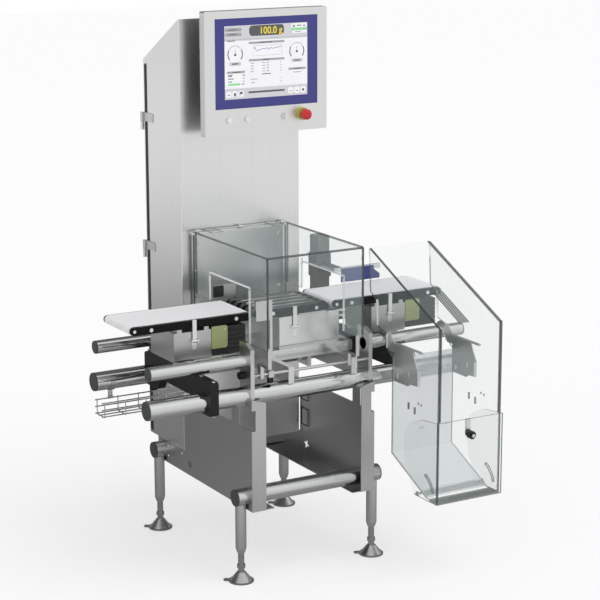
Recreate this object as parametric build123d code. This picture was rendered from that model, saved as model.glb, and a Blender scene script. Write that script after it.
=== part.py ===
# Checkweigher: weigh conveyor between an infeed and an outfeed conveyor, with a
# column cabinet, a touch terminal, a clear hood, a pusher and a reject bin.
# Millimetres, +Z up, belts run along +X, the operator stands at -Y.
# Everything is laid out from the front leg line (y = 0) midway between the
# legs (x = 0), then shifted so the middle of the footprint box is the origin.
import math
import os

from build123d import *

os.makedirs("parts", exist_ok=True)

# Fits and sheet
fit_gap = 0.3
slide_gap = 0.4
bore_gap = 0.2
sheet = 2.0

# Side plates and legs
plate_x = 224.0
plate_t = 3.0
plate_front = -47.0
plate_rear = 616.0
plate_bottom = 237.0
ledge_z = 313.0
web_top = 500.0
flange_w = 50.0
floor_flange_w = 80.0
fold_r = 2.5
cross_r = 27.5
cross_wall = 2.5
cross_z = 279.0
cross_front_y = -2.0
cross_rear_y = 575.0
leg_x = 242.0
leg_r = 17.5
leg_end_z = 112.0
spindle_r = 10.0
foot_r = 40.0

# Tubes along the line
tube_z = 605.0
tube_r = 30.15
tube_wall = 2.0
upper_z = 718.0
upper_r = 21.2
front_y = 0.0
back_y = 383.0
lower_x0 = -559.0
lower_x1 = 575.0
upper_x0 = -551.0
upper_x1 = 582.0
cap_t = 4.0
upright_t = 13.4
upright_half = 35.0
bracket_t = 28.0
bracket_top = 675.0

# Conveyors, measured outwards from the weigh section and down from the belts
belt_top = 846.0
belt_t = 1.5
belt_y0 = 96.0
belt_w = 176.0
belt_len = 418.0
nose_r = 12.0
transfer_gap = 14.0
weigh_x0 = -136.0
weigh_len = 269.0
strand_n = 5
strand_w = 14.0
strand_edge = 5.0
rail_t = 9.0
rail_h = 24.0
rail_drop = 2.5
housing_len = 129.0
housing_inset = 13.0
motor_len = 122.0
base_x0 = -100.0
base_x1 = 205.0
base_y0 = 62.0
base_y1 = 300.0
base_z0 = 682.0
base_z1 = 716.0
rod_y = -18.0
rod_z = 669.0
rod_r = 5.0

# Column and terminal
col_x0 = -224.0
col_x1 = 216.0
col_front = 419.0
col_rear = 677.0
col_top = 1732.0
col_back_top = 1585.0
door_t = 24.0
door_z0 = 321.0
door_z1 = 1571.0
term_x0 = -178.0
term_x1 = 268.0
term_z0 = 1364.0
term_z1 = 1759.0
term_reach = 90.0
term_slab = 32.0

# Hood
hood_x0 = -187.0
hood_x1 = 158.0
hood_front = -83.0
hood_t = 5.0
tunnel_h = 88.0
hood_rise = 117.0
hood_skirt = 76.0

# Reject bin and pusher
bin_x0 = 280.0
bin_w = 237.0
bin_t = 5.0
bin_front = -325.0
bin_bottom = 262.0
bin_back = -60.0
bin_door_top = 522.0
door_axis_y = -225.0
door_axis_z = 266.0
pusher_x = 292.0
pusher_rise = 46.0

# Places worked out from the driving sizes
inner = plate_x - plate_t
tube_bore = tube_r + fit_gap
upper_bore = upper_r + fit_gap
weigh_x1 = weigh_x0 + weigh_len
infeed_x0 = weigh_x0 - transfer_gap - belt_len
outfeed_x0 = weigh_x1 + transfer_gap
conveyor_starts = (infeed_x0, outfeed_x0)
belt_y1 = belt_y0 + belt_w
mid_y = (belt_y0 + belt_y1) / 2
axis_z = belt_top - belt_t - nose_r
rail_top = belt_top - rail_drop
rail_bottom = rail_top - rail_h
rail_clear = 3.0
rail_in = belt_y0 - rail_clear
rail_out = rail_in - rail_t
rail_back = 2 * mid_y - rail_in
strand_pitch = (belt_w - strand_w - 2 * strand_edge) / (strand_n - 1)
hinge_y = col_front - 11.0
hood_rear = hinge_y - 10.0
tunnel_top = belt_top + tunnel_h
hood_top = tunnel_top + hood_rise
hood_bottom = belt_top - hood_skirt
term_y = col_front - term_reach
bin_x1 = bin_x0 + bin_w
door_wrap = 5.4
lock_reach = 21.6
handle_reach = 12.0

# The shift to the middle of the footprint
line_x = -(infeed_x0 + upper_x1 + cap_t) / 2
line_y = -(bin_front - door_wrap - lock_reach + col_rear + handle_reach) / 2


# Small helpers
def block(x0, x1, y0, y1, z0, z1):
    middle = Pos((x0 + x1) / 2, (y0 + y1) / 2, (z0 + z1) / 2)
    return middle * Box(x1 - x0, y1 - y0, z1 - z0)


def bar_x(x0, x1, y, z, r):
    return Pos((x0 + x1) / 2, y, z) * Rot(0, 90, 0) * Cylinder(r, abs(x1 - x0))


def bar_y(x, y0, y1, z, r):
    return Pos(x, (y0 + y1) / 2, z) * Rot(90, 0, 0) * Cylinder(r, y1 - y0)


def bar_z(x, y, z0, z1, r):
    return Pos(x, y, (z0 + z1) / 2) * Cylinder(r, z1 - z0)


def hex_z(x, y, z0, z1, r):
    return Pos(x, y, z0) * extrude(RegularPolygon(r, 6), amount=z1 - z0)


def pipe_x(x0, x1, y, z, r, wall):
    return bar_x(x0, x1, y, z, r) - bar_x(x0 - 1, x1 + 1, y, z, r - wall)


def plane_x(x, y=0.0, z=0.0):
    return Plane(origin=(x, y, z), x_dir=(0, 1, 0), z_dir=(1, 0, 0))


def rounded(points, r, picks):
    face = make_face(Polyline(*points, close=True))
    if not r:
        return face
    corners = face.vertices()
    if picks is not None:
        corners = [min(corners, key=lambda v: math.dist((v.X, v.Y), p)) for p in picks]
    return fillet(corners, r)


def slab_x(points, x0, x1, r=0.0, picks=None):
    return extrude(plane_x(x0) * rounded(points, r, picks), amount=x1 - x0)


def slab_y(points, y0, y1, r=0.0, picks=None):
    plane = Plane(origin=(0, y1, 0), x_dir=(1, 0, 0), z_dir=(0, -1, 0))
    return extrude(plane * rounded(points, r, picks), amount=y1 - y0)


def turned_y(x, z, profile):
    """A round piece about an axis along Y, from (y, radius) points."""
    points = [(profile[0][0], 0), *profile, (profile[-1][0], 0)]
    face = plane_x(x, 0, z) * make_face(Polyline(*points, close=True))
    return revolve(face, axis=Axis((x, 0, z), (0, 1, 0)))


def mirrored(shape):
    return mirror(shape, about=Plane.YZ)


def write(name, *shapes):
    solids = []
    for shape in shapes:
        solids += (Pos(line_x, line_y, 0) * shape).solids()
    item = solids[0] if len(solids) == 1 else Compound(children=solids)
    export_step(item, f"parts/{name}.step")


# Side plates: folded sheet with a front flange, a floor flange and a low rear flange
head_bottom = 566.0
head_top = 601.0
head_rear = 84.0
head_rise = 6.0
notch_rear = 38.0
notch_step = 10.0
head_cut = 14.0
web_points = [
    (plate_front, plate_bottom), (plate_rear, plate_bottom), (plate_rear, ledge_z - fit_gap),
    (col_front - fit_gap, ledge_z - fit_gap), (col_front - fit_gap, web_top), (head_rear, web_top),
    (head_rear, head_top + head_rise), (plate_front, head_top), (plate_front, head_bottom),
    (notch_rear, head_bottom), (notch_rear, web_top), (plate_front, web_top),
]
web = slab_x(web_points, inner, plate_x)
for y in (cross_front_y, cross_rear_y):
    web -= bar_x(inner - 1, plate_x + 1, y, cross_z, cross_r + fit_gap)
web -= bar_x(inner - 1, plate_x + 1, front_y, tube_z, tube_bore)

# a small cross cut through the web, for a cable tie
tie_y = 382.0
tie_z = 275.0
tie_len = 30.0
tie_w = 8.0
tie_turn = 20
for angle in (tie_turn, tie_turn + 90):
    web -= Pos(plate_x, tie_y, tie_z) * Rot(angle, 0, 0) * Box(4 * plate_t, tie_len, tie_w)

flange_in = plate_x - flange_w
front_flange = slab_y(
    [(flange_in, plate_bottom), (inner, plate_bottom), (inner, web_top), (inner - notch_step, web_top),
     (inner - notch_step, head_bottom), (inner, head_bottom), (inner, head_top - 1),
     (flange_in, head_top - head_cut)],
    plate_front, plate_front + plate_t)
floor_flange = block(plate_x - floor_flange_w, inner, plate_front + plate_t, plate_rear,
                     plate_bottom, plate_bottom + plate_t)
rear_flange = block(flange_in, inner, plate_rear - plate_t, plate_rear,
                    plate_bottom + plate_t, ledge_z - fit_gap)
right_plate = web + front_flange + floor_flange + rear_flange
folds = right_plate.edges().filter_by(Axis.Z)
folds = folds.filter_by_position(Axis.X, plate_x - 0.1, plate_x + 0.1)
folds = folds.filter_by_position(Axis.Y, plate_front - 0.1, plate_front + 0.1)
right_plate = fillet(folds, fold_r)

# shallow covers over two wells, and the low rear panel between the plates
well_y = 362.0
well_w = 46.0
well_h = 60.0
well_t = 4.0
cover_wells = [block(inner - well_t, inner - fit_gap, well_y, well_y + well_w, z, z + well_h)
               for z in (342.0, 430.0)]
panel_y = 540.0
rear_panel = block(-inner + fit_gap, inner - fit_gap, panel_y, panel_y + plate_t,
                   plate_bottom + plate_t + 4, ledge_z - fit_gap)
write("frame_plates", right_plate, mirrored(right_plate), rear_panel, *cover_wells)

# Cross tubes and tapered leg barrels
leg_taper = 15.0
tip_wall = 3.0
socket_cover = 12.0
cross_half = leg_x + 18.0
frame_legs = [pipe_x(-cross_half, cross_half, y, cross_z, cross_r, cross_wall)
              for y in (cross_front_y, cross_rear_y)]
for x in (-leg_x, leg_x):
    for y in (cross_front_y, cross_rear_y):
        leg = bar_z(x, y, leg_end_z, cross_z, leg_r)
        leg += Pos(x, y, leg_end_z - leg_taper / 2) * Cone(spindle_r + tip_wall, leg_r, leg_taper)
        leg -= bar_x(x - 2 * leg_r, x + 2 * leg_r, y, cross_z, cross_r + bore_gap)
        leg -= bar_z(x, y, 0, cross_z - cross_r - socket_cover, spindle_r + slide_gap)
        frame_legs.append(leg)
write("leg_frame", *frame_legs)

# Levelling feet: disc, cone, spindle and lock nut, with a lug for a floor bolt
foot_rim = 5.0
foot_cone = 32.0
cone_step = 4.0
nut_z = 46.0
nut_h = 10.0
nut_r = 15.0
spindle_top = 200.0
lug_r = 9.0
lug_reach = 48.0
lug_bolt_r = 4.5
lug_turn = 145
foot_names = {
    "foot_front_left": (-leg_x, cross_front_y), "foot_front_right": (leg_x, cross_front_y),
    "foot_rear_left": (-leg_x, cross_rear_y), "foot_rear_right": (leg_x, cross_rear_y),
}
for name, (x, y) in foot_names.items():
    foot = bar_z(x, y, 0, foot_rim, foot_r)
    lug = block(0, lug_reach, -lug_r, lug_r, 1, foot_rim) + bar_z(lug_reach, 0, 1, foot_rim, lug_r)
    lug -= bar_z(lug_reach, 0, 0, foot_rim + 1, lug_bolt_r)
    foot += Pos(x, y, 0) * Rot(0, 0, lug_turn) * lug
    foot += Pos(x, y, (foot_rim + foot_cone) / 2) * Cone(foot_r - cone_step, spindle_r + cone_step,
                                                         foot_cone - foot_rim)
    foot += bar_z(x, y, foot_cone, spindle_top, spindle_r)
    foot += hex_z(x, y, nut_z, nut_z + nut_h, nut_r)
    write(name, foot)

# Lower tubes right through, upper tubes broken at the uprights
upright_x = inner - fit_gap - upright_t
upright_out = upright_x + upright_t
write("lower_tubes", *[pipe_x(lower_x0, lower_x1, y, tube_z, tube_r, tube_wall)
                       for y in (front_y, back_y)])
upper = []
for y in (front_y, back_y):
    for x0, x1 in ((upper_x0, -upright_x), (upright_x, upper_x1)):
        upper.append(pipe_x(x0, x1, y, upper_z, upper_r, tube_wall))
write("upper_tubes", *upper)

# Push-in caps in the tube ends, and cable glands under the column
plug_len = 16.0
cap_inset = 0.6


def end_cap(x, way, y, z, r, wall):
    cap = bar_x(x, x + way * cap_t, y, z, r - cap_inset)
    return cap + bar_x(x - way * plug_len, x, y, z, r - wall - fit_gap)


caps = []
for y in (front_y, back_y):
    for x, way in ((lower_x0, -1), (lower_x1, 1)):
        caps.append(end_cap(x, way, y, tube_z, tube_r, tube_wall))
    for x, way in ((upper_x0, -1), (upper_x1, 1)):
        caps.append(end_cap(x, way, y, upper_z, upper_r, tube_wall))
for y in (cross_front_y, cross_rear_y):
    for way in (-1, 1):
        caps.append(end_cap(way * cross_half, way, y, cross_z, cross_r, cross_wall))
gland_x = (-140.0, -100.0, -60.0, -20.0)
gland_y = 640.0
gland_r = 9.0
gland_nut_r = 13.0
gland_nut_h = 14.0
gland_drop = 26.0
for x in gland_x:
    nut = hex_z(x, gland_y, ledge_z - gland_nut_h, ledge_z - fit_gap, gland_nut_r)
    caps.append(nut + bar_z(x, gland_y, ledge_z - gland_drop, ledge_z - gland_nut_h, gland_r))
write("end_caps", *caps)

# Uprights: thick plates bored for both tubes, standing inside the side plates
upright_peak = 773.0
upright_nose = 756.0
rear_foot_z = 560.0
uprights = []
for y, back_edge, z0 in ((front_y, upright_half, head_bottom),
                         (back_y, col_front - back_y - slide_gap, rear_foot_z)):
    side = slab_x([(y - upright_half, z0), (y + back_edge, z0), (y + back_edge, upright_peak),
                   (y, upright_peak), (y - upright_half, upright_nose)], upright_x, upright_out)
    side -= bar_x(upright_x - 1, upright_out + 1, y, tube_z, tube_bore)
    side -= bar_x(upright_x - 1, upright_out + 1, y, upper_z, upper_bore)
    uprights += [side, mirrored(side)]
write("uprights", *uprights)

# Moulded clamp brackets over both lower tubes, with a raised waist between the clamps
clamp_low = tube_z - 38.0
waist_z = tube_z + 2.0
clamp_front = 45.0
clamp_rear = 34.0
front_clamp_y = 62.0
rear_clamp_y = back_y - 58.0
waist_slope = 25.0
bracket_round = 11.0
bracket_shift = 8.0
bracket_points = [
    (-clamp_front, clamp_low), (front_clamp_y, clamp_low), (front_clamp_y + waist_slope, waist_z),
    (rear_clamp_y - waist_slope, waist_z), (rear_clamp_y, clamp_low),
    (back_y + clamp_rear, clamp_low), (back_y + clamp_rear, bracket_top), (-clamp_front, bracket_top),
]
bracket_mids = [start + belt_len / 2 + bracket_shift for start in conveyor_starts]
brackets = []
for x in bracket_mids:
    x0 = x - bracket_t / 2
    arm = slab_x(bracket_points, x0, x0 + bracket_t, r=bracket_round)
    for y in (front_y, back_y):
        arm -= bar_x(x0 - 1, x0 + bracket_t + 1, y, tube_z, tube_bore)
    brackets.append(arm)

# Knobs: one under the rod collar, one under each rear clamp, one outside each upright
collar_x = -143.0
collar_half = 10.0
knob_r = 10.0
knob_h = 18.0
side_knob_r = 12.0
side_knob_y = 8.0
clamp_knob_h = 16.0
knobs = [bar_z(collar_x, rod_y, rod_z - collar_half - knob_h, rod_z - collar_half - fit_gap, knob_r)]
for x in bracket_mids:
    knobs.append(bar_z(x, back_y, clamp_low - clamp_knob_h, clamp_low - fit_gap, side_knob_r))
for way in (-1, 1):
    x = way * (upright_out + fit_gap)
    knobs.append(bar_x(x, x + way * knob_h, side_knob_y, rod_z, side_knob_r))
write("clamp_brackets", *brackets, *knobs)

# Wire tray on the infeed side: welded grid of eight-sided wires on two hanger straps
wire = 2.2
rib = 1.9
tray_x0 = -560.0
tray_x1 = -180.0
tray_y0 = 325.0
tray_y1 = back_y - 5.0
tray_low = web_top + wire + fit_gap
tray_high = tray_low + 44.5
weld_step = wire + fit_gap
rib_inset = 8.0
rib_n = 6


def wire_bar(middle, turn, length, r):
    wire_face = RegularPolygon(r, 8)
    return Pos(*middle) * turn * extrude(wire_face, amount=length / 2, both=True)


tray_mid = ((tray_x0 + tray_x1) / 2, (tray_y0 + tray_y1) / 2, (tray_low + tray_high) / 2)
tray_len = tray_x1 - tray_x0
along_x = Rot(0, 90, 0)
along_y = Rot(90, 0, 0)
rib_h = tray_high + wire - (tray_low - weld_step)
rib_z = tray_low - weld_step + rib_h / 2
tray = None
for i in range(rib_n):
    x = tray_x0 + rib_inset + i * (tray_len - 2 * rib_inset) / (rib_n - 1)
    loop = wire_bar((x, tray_y0 - weld_step, rib_z), Rot(0, 0, 0), rib_h, rib)
    loop += wire_bar((x, tray_y1 + weld_step, rib_z), Rot(0, 0, 0), rib_h, rib)
    loop += wire_bar((x, tray_mid[1], tray_low - weld_step), along_y,
                     tray_y1 - tray_y0 + 2 * weld_step, rib - 0.02)
    tray = loop if tray is None else tray + loop
for y in (tray_y0, tray_y1):
    for z in (tray_high, tray_mid[2], tray_low):
        tray += wire_bar((tray_mid[0], y, z), along_x, tray_len, wire)
tray += wire_bar((tray_mid[0], tray_mid[1], tray_low), along_x, tray_len, wire)

hanger_w = 16.0
hanger_t = 2.5
hangers = []
for x in (-505.0, -290.0):
    x0 = x - hanger_w / 2
    x1 = x + hanger_w / 2
    strap = bar_x(x0, x1, back_y, tube_z, tube_r + hanger_t + fit_gap)
    strap -= bar_x(x0 - 1, x1 + 1, back_y, tube_z, tube_bore)
    strap -= block(x0 - 1, x1 + 1, back_y - 2 * tube_r, back_y + 2 * tube_r, tube_z, tube_z + 2 * tube_r)
    hook_y = tray_y1 + wire + fit_gap
    hook_z = tray_high + wire + fit_gap
    strap += block(x0, x1, hook_y, hook_y + hanger_t, tray_high - 4, tube_z - tube_r - 1)
    strap += block(x0, x1, tray_y1 - wire, hook_y + 1, hook_z, hook_z + hanger_t)
    hangers.append(strap)
write("wire_tray", tray, *hangers)

# Belts, rails, beds and rollers
rail_inset = 2.0
rail_round = 11.5
journal_r = 4.0
journal_end = 5.5
seat_depth = 6.0
bed_inset = 32.0
bed_h = 20.0
bed_gap = 0.5
roller_in = nose_r + belt_t


def belt_loop(x0, x1, y0, y1):
    a = x0 + roller_in
    b = x1 - roller_in
    body = block(a, b, y0, y1, axis_z - roller_in, axis_z + roller_in)
    body += bar_y(a, y0, y1, axis_z, roller_in) + bar_y(b, y0, y1, axis_z, roller_in)
    core = block(a, b, y0 - 1, y1 + 1, axis_z - nose_r, axis_z + nose_r)
    core += bar_y(a, y0 - 1, y1 + 1, axis_z, nose_r) + bar_y(b, y0 - 1, y1 + 1, axis_z, nose_r)
    return body - core


def rail_pair(x0, x1):
    a = x0 + rail_inset
    b = x1 - rail_inset
    points = [(a, rail_bottom), (b, rail_bottom), (b, rail_top), (a, rail_top)]
    made = []
    for y0, seat_y in ((rail_out, rail_in - seat_depth), (rail_back, rail_back)):
        rail = slab_y(points, y0, y0 + rail_t, r=rail_round)
        for x in (x0 + roller_in, x1 - roller_in):
            rail -= bar_y(x, seat_y, seat_y + seat_depth, axis_z, journal_r + fit_gap)
        made.append(rail)
    return made


def bed(x0, x1):
    z1 = belt_top - belt_t - bed_gap
    y0 = rail_in + fit_gap
    y1 = rail_back - fit_gap
    shell = block(x0 + bed_inset, x1 - bed_inset, y0, y1, z1 - bed_h, z1)
    return shell - block(x0, x1, y0 + sheet, y1 - sheet, z1 - bed_h - 1, z1 - sheet)


rails = []
beds = []
for x0, x1 in ((infeed_x0, infeed_x0 + belt_len), (outfeed_x0, outfeed_x0 + belt_len),
               (weigh_x0, weigh_x1)):
    rails += rail_pair(x0, x1)
    beds.append(bed(x0, x1))
write("side_rails", *rails)
write("belt_beds", *beds)
write("conveyor_belts", *[belt_loop(x0, x0 + belt_len, belt_y0, belt_y1) for x0 in conveyor_starts])
strand_mids = [mid_y + (i - (strand_n - 1) / 2) * strand_pitch for i in range(strand_n)]
write("weigh_strands", *[belt_loop(weigh_x0, weigh_x1, y - strand_w / 2, y + strand_w / 2)
                         for y in strand_mids])

drum_r = nose_r - fit_gap
for name, x in (("roller_infeed_start", infeed_x0 + roller_in),
                ("roller_infeed_end", infeed_x0 + belt_len - roller_in),
                ("roller_outfeed_start", outfeed_x0 + roller_in),
                ("roller_outfeed_end", outfeed_x0 + belt_len - roller_in)):
    write(name, turned_y(x, axis_z, [
        (rail_in - journal_end, journal_r), (belt_y0 + 1, journal_r), (belt_y0 + 1, drum_r),
        (belt_y1 - 1, drum_r), (belt_y1 - 1, journal_r), (rail_back + journal_end, journal_r)]))

# weigh rollers: one shaft with a flanged pulley under each narrow belt
shaft_r = 7.0
rim_r = nose_r + 0.8
rim_t = 3.0
rim_gap = 0.6
for name, x in (("roller_weigh_start", weigh_x0 + roller_in), ("roller_weigh_end", weigh_x1 - roller_in)):
    profile = [(rail_in - journal_end, journal_r), (rail_in + 2, journal_r), (rail_in + 2, shaft_r)]
    for y in strand_mids:
        half = strand_w / 2 + rim_gap
        profile += [(y - half - rim_t, shaft_r), (y - half - rim_t, rim_r), (y - half, rim_r),
                    (y - half, drum_r), (y + half, drum_r), (y + half, rim_r),
                    (y + half + rim_t, rim_r), (y + half + rim_t, shaft_r)]
    profile += [(rail_back - 2, shaft_r), (rail_back - 2, journal_r), (rail_back + journal_end, journal_r)]
    write(name, turned_y(x, axis_z, profile))

# Conveyor housings on two posts each, with cross bars that carry the rails, and drive motors
housing_y0 = rail_out + 3.0
housing_y1 = housing_y0 + belt_w - housing_inset
housing_bottom = bracket_top + 40.0
housing_top = rail_bottom - 11.5
housing_shift = 2.5
housing_fold = 6.0
housing_floor = 8.0
bar_w = 16.0
bar_h = 9.0
bar_inset = 18.0
post_r = 10.0
post_spots = (belt_y0 + 34.0, belt_y1 - 57.0)
motor_front = housing_y0 + 3.0
motor_rear = housing_y1 - 6.0
motor_bottom = housing_bottom + 7.0
motor_top = housing_top + 2.0
motor_round = 6.0
fin_n = 5
fin_h = 6.0
fin_depth = 3.0
stub_r = 30.0
stub_len = 30.0
cover_w = 55.0
cover_z0 = motor_bottom + 22.0
cover_z1 = housing_top + 7.0
cover_round = 8.0
housings = []
motors = []
covers = []
for start, bracket_mid in zip(conveyor_starts, bracket_mids):
    h0 = start + (belt_len - housing_len) / 2 + housing_shift
    h1 = h0 + housing_len
    shell = slab_x([(housing_y0, housing_bottom + housing_fold), (housing_y0 + housing_fold, housing_bottom),
                    (housing_y1, housing_bottom), (housing_y1, housing_top),
                    (housing_y0, housing_top)], h0, h1)
    shell -= block(h0 + sheet, h1 + 1, housing_y0 + sheet, housing_y1 - sheet,
                   housing_bottom + housing_floor, housing_top - sheet)
    for x in (h0 + bar_inset, h1 - bar_inset):
        x0 = x - bar_w / 2
        shell += block(x0, x0 + bar_w, rail_out, rail_back + rail_t, housing_top, housing_top + bar_h)
        for y in (rail_out, rail_back):
            shell += block(x0, x0 + bar_w, y, y + rail_t, housing_top + bar_h, rail_bottom - fit_gap)
    for y in post_spots:
        shell += bar_z(bracket_mid, y, bracket_top + fit_gap, housing_bottom, post_r)
    housings.append(shell)
    m0 = h1 + fit_gap
    motor = block(m0, m0 + motor_len, motor_front, motor_rear, motor_bottom, motor_top)
    motor = fillet(motor.edges().filter_by(Axis.Y), motor_round)
    fin_pitch = (motor_top - motor_bottom) / (fin_n + 1)
    for i in range(fin_n):
        z = motor_bottom + (i + 1) * fin_pitch
        for y0, y1 in ((motor_front - 1, motor_front + fin_depth), (motor_rear - fin_depth, motor_rear + 1)):
            motor -= block(m0 + cover_w + 4, m0 + motor_len + 1, y0, y1, z - fin_h / 2, z + fin_h / 2)
    motor += bar_x(h1 - stub_len, m0 + 2, (housing_y0 + housing_y1) / 2,
                   (motor_bottom + motor_top) / 2, stub_r)
    motors.append(motor)
    covers.append(slab_y([(h1 + 1, cover_z0), (h1 + 1 + cover_w, cover_z0), (h1 + 1 + cover_w, cover_z1),
                          (h1 + 1, cover_z1)], housing_y0 - sheet, motor_front - fit_gap, r=cover_round,
                         picks=[(h1 + 1 + cover_w, cover_z0), (h1 + 1 + cover_w, cover_z1)]))
write("conveyor_housings", *housings)
write("motor_covers", *covers)

# Weigh base: inverted pan on two beams that sit over both lower tubes
pan_t = 3.0
lip_w = 22.0
lip_h = 4.0
lip_x0 = base_x0 + 38.0
lip_x1 = base_x1 - 25.0
beam_w = 20.0
beam_low = tube_z + 23.0
beam_front = front_y - 24.0
beam_rear = back_y + 21.0
beam_spots = (base_x0 + 20.0, base_x1 - 55.0)
cell_foot = 12.0
cell_x0 = -20.0
cell_len = 130.0
cell_y = mid_y
cell_half = 20.0
cell_h = 40.0
cell_bore = 12.0
bore_spots = (25.0, 65.0)
cell_web = 5.0
cell_z0 = base_z1 + cell_foot
cell_z1 = cell_z0 + cell_h
cell_mid = (cell_z0 + cell_z1) / 2
weigh_base = block(base_x0, base_x1, base_y0, base_y1, base_z0, base_z1)
weigh_base -= block(base_x0 + pan_t, base_x1 - pan_t, base_y0 + pan_t, base_y1 - pan_t,
                    base_z0 - 1, base_z1 - pan_t)
weigh_base += slab_x([(base_y0, base_z1), (base_y0 + lip_w, base_z1), (base_y0 + lip_w, base_z1 + lip_h)],
                     lip_x0, lip_x1)
for x0 in beam_spots:
    beam = block(x0, x0 + beam_w, beam_front, beam_rear, beam_low, base_z0)
    for y in (front_y, back_y):
        beam -= bar_x(x0 - 1, x0 + beam_w + 1, y, tube_z, tube_r + bore_gap)
    beam -= bar_x(x0 - 1, x0 + beam_w + 1, rod_y, rod_z, rod_r + fit_gap)
    weigh_base += beam
weigh_base += block(cell_x0 + 40, cell_x0 + 80, cell_y - 44, cell_y + 44, base_z1, cell_z0)
write("weigh_base", weigh_base)

# Load cell: bending beam with the two round eyes joined by a slot
cell = block(cell_x0, cell_x0 + cell_len, cell_y - cell_half, cell_y + cell_half, cell_z0, cell_z1)
for x in bore_spots:
    cell -= bar_y(x, cell_y - 2 * cell_half, cell_y + 2 * cell_half, cell_mid, cell_bore)
cell -= block(bore_spots[0], bore_spots[1], cell_y - 2 * cell_half, cell_y + 2 * cell_half,
              cell_mid - cell_web, cell_mid + cell_web)
write("load_cell", cell)

# Weigh housing over the cell, and the carrier that passes through it up to the rails
cover_x0 = base_x0 + 50.0
cover_x1 = base_x1 - 33.0
cover_y1 = base_y1 - 30.0
cover_top = rail_bottom - 5.5
cover_fold = 4.0
neck_x0 = 66.0
neck_x1 = 106.0
neck_half = 16.0
neck_clear = 6.0
arm_x0 = 20.0
arm_x1 = 120.0
arm_t = 2.5
housing = block(cover_x0, cover_x1, housing_y0, cover_y1, base_z1 + fit_gap, cover_top)
housing = fillet(housing.edges().filter_by(Axis.Z), cover_fold)
housing -= block(cover_x0 + sheet, cover_x1 - sheet, housing_y0 + sheet, cover_y1 - sheet,
                 base_z1 - 1, cover_top - sheet)
housing -= block(neck_x0 - neck_clear, neck_x1 + neck_clear, cell_y - 54, cell_y + 54,
                 cover_top - 2 * neck_clear, cover_top + neck_clear)
write("weigh_housing", housing)
carrier = block(neck_x0, neck_x1, cell_y - neck_half, cell_y + neck_half, cell_z1 + fit_gap, cover_top + 3)
carrier += block(arm_x0, arm_x1, rail_out, rail_back + rail_t, cover_top + 2, cover_top + 2 + arm_t)
for y in (rail_out, rail_back):
    carrier += block(arm_x0, arm_x1, y, y + rail_t, cover_top + 4, rail_bottom - fit_gap)
write("weigh_carrier", carrier)

# small motor of the weigh belts, on its foot inside the housing
drive_x0 = cover_x0 + 10.0
drive_len = 52.0
drive_y0 = housing_y0 + 13.0
drive_w = 50.0
drive_z0 = base_z1 + 11.0
drive_h = 73.0
drive_stub = 28.0
drive_stub_r = 18.0
weigh_motor = block(drive_x0, drive_x0 + drive_len, drive_y0, drive_y0 + drive_w,
                    drive_z0, drive_z0 + drive_h)
weigh_motor += bar_x(drive_x0 + drive_len, drive_x0 + drive_len + drive_stub, drive_y0 + drive_w / 2,
                     drive_z0 + drive_h / 2, drive_stub_r)
weigh_motor += block(drive_x0 - 2, drive_x0 + drive_len + 2, drive_y0 - 2, drive_y0 + drive_w + 2,
                     base_z1 + fit_gap, drive_z0)
write("drive_motors", *motors, weigh_motor)

# Latches: bent straps that hook over the front rails and swing on a pin below
latch_half = 7.0
latch_t = 2.0
latch_drop = 64.5
latch_pin_r = 2.0
knuckle_r = 5.0
knuckle_half = 9.0
hook_reach = 5.0
latch_face = rail_out - fit_gap
latch_y = latch_face - 4.0
latch_z = rail_top - latch_drop
latch_spots = (infeed_x0 + belt_len / 2 + 7.0, 5.0, outfeed_x0 + belt_len / 2 - 4.0 + 11.0)
for name, x in zip(("latch_infeed", "latch_weigh", "latch_outfeed"), latch_spots):
    lever = slab_x([(latch_face - latch_t, latch_z), (latch_face, latch_z),
                    (latch_face, rail_top + fit_gap), (latch_face + hook_reach, rail_top + fit_gap),
                    (latch_face + hook_reach, rail_top + fit_gap + 1.5),
                    (latch_face - latch_t, rail_top + fit_gap + 1.5)],
                   x - latch_half, x + latch_half, r=1.4,
                   picks=[(latch_face - latch_t, rail_top + fit_gap + 1.5)])
    lever += bar_x(x - knuckle_half, x + knuckle_half, latch_y, latch_z, knuckle_r)
    lever -= bar_x(x - knuckle_half - 1, x + knuckle_half + 1, latch_y, latch_z, latch_pin_r + fit_gap)
    write(name, lever)

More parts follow.
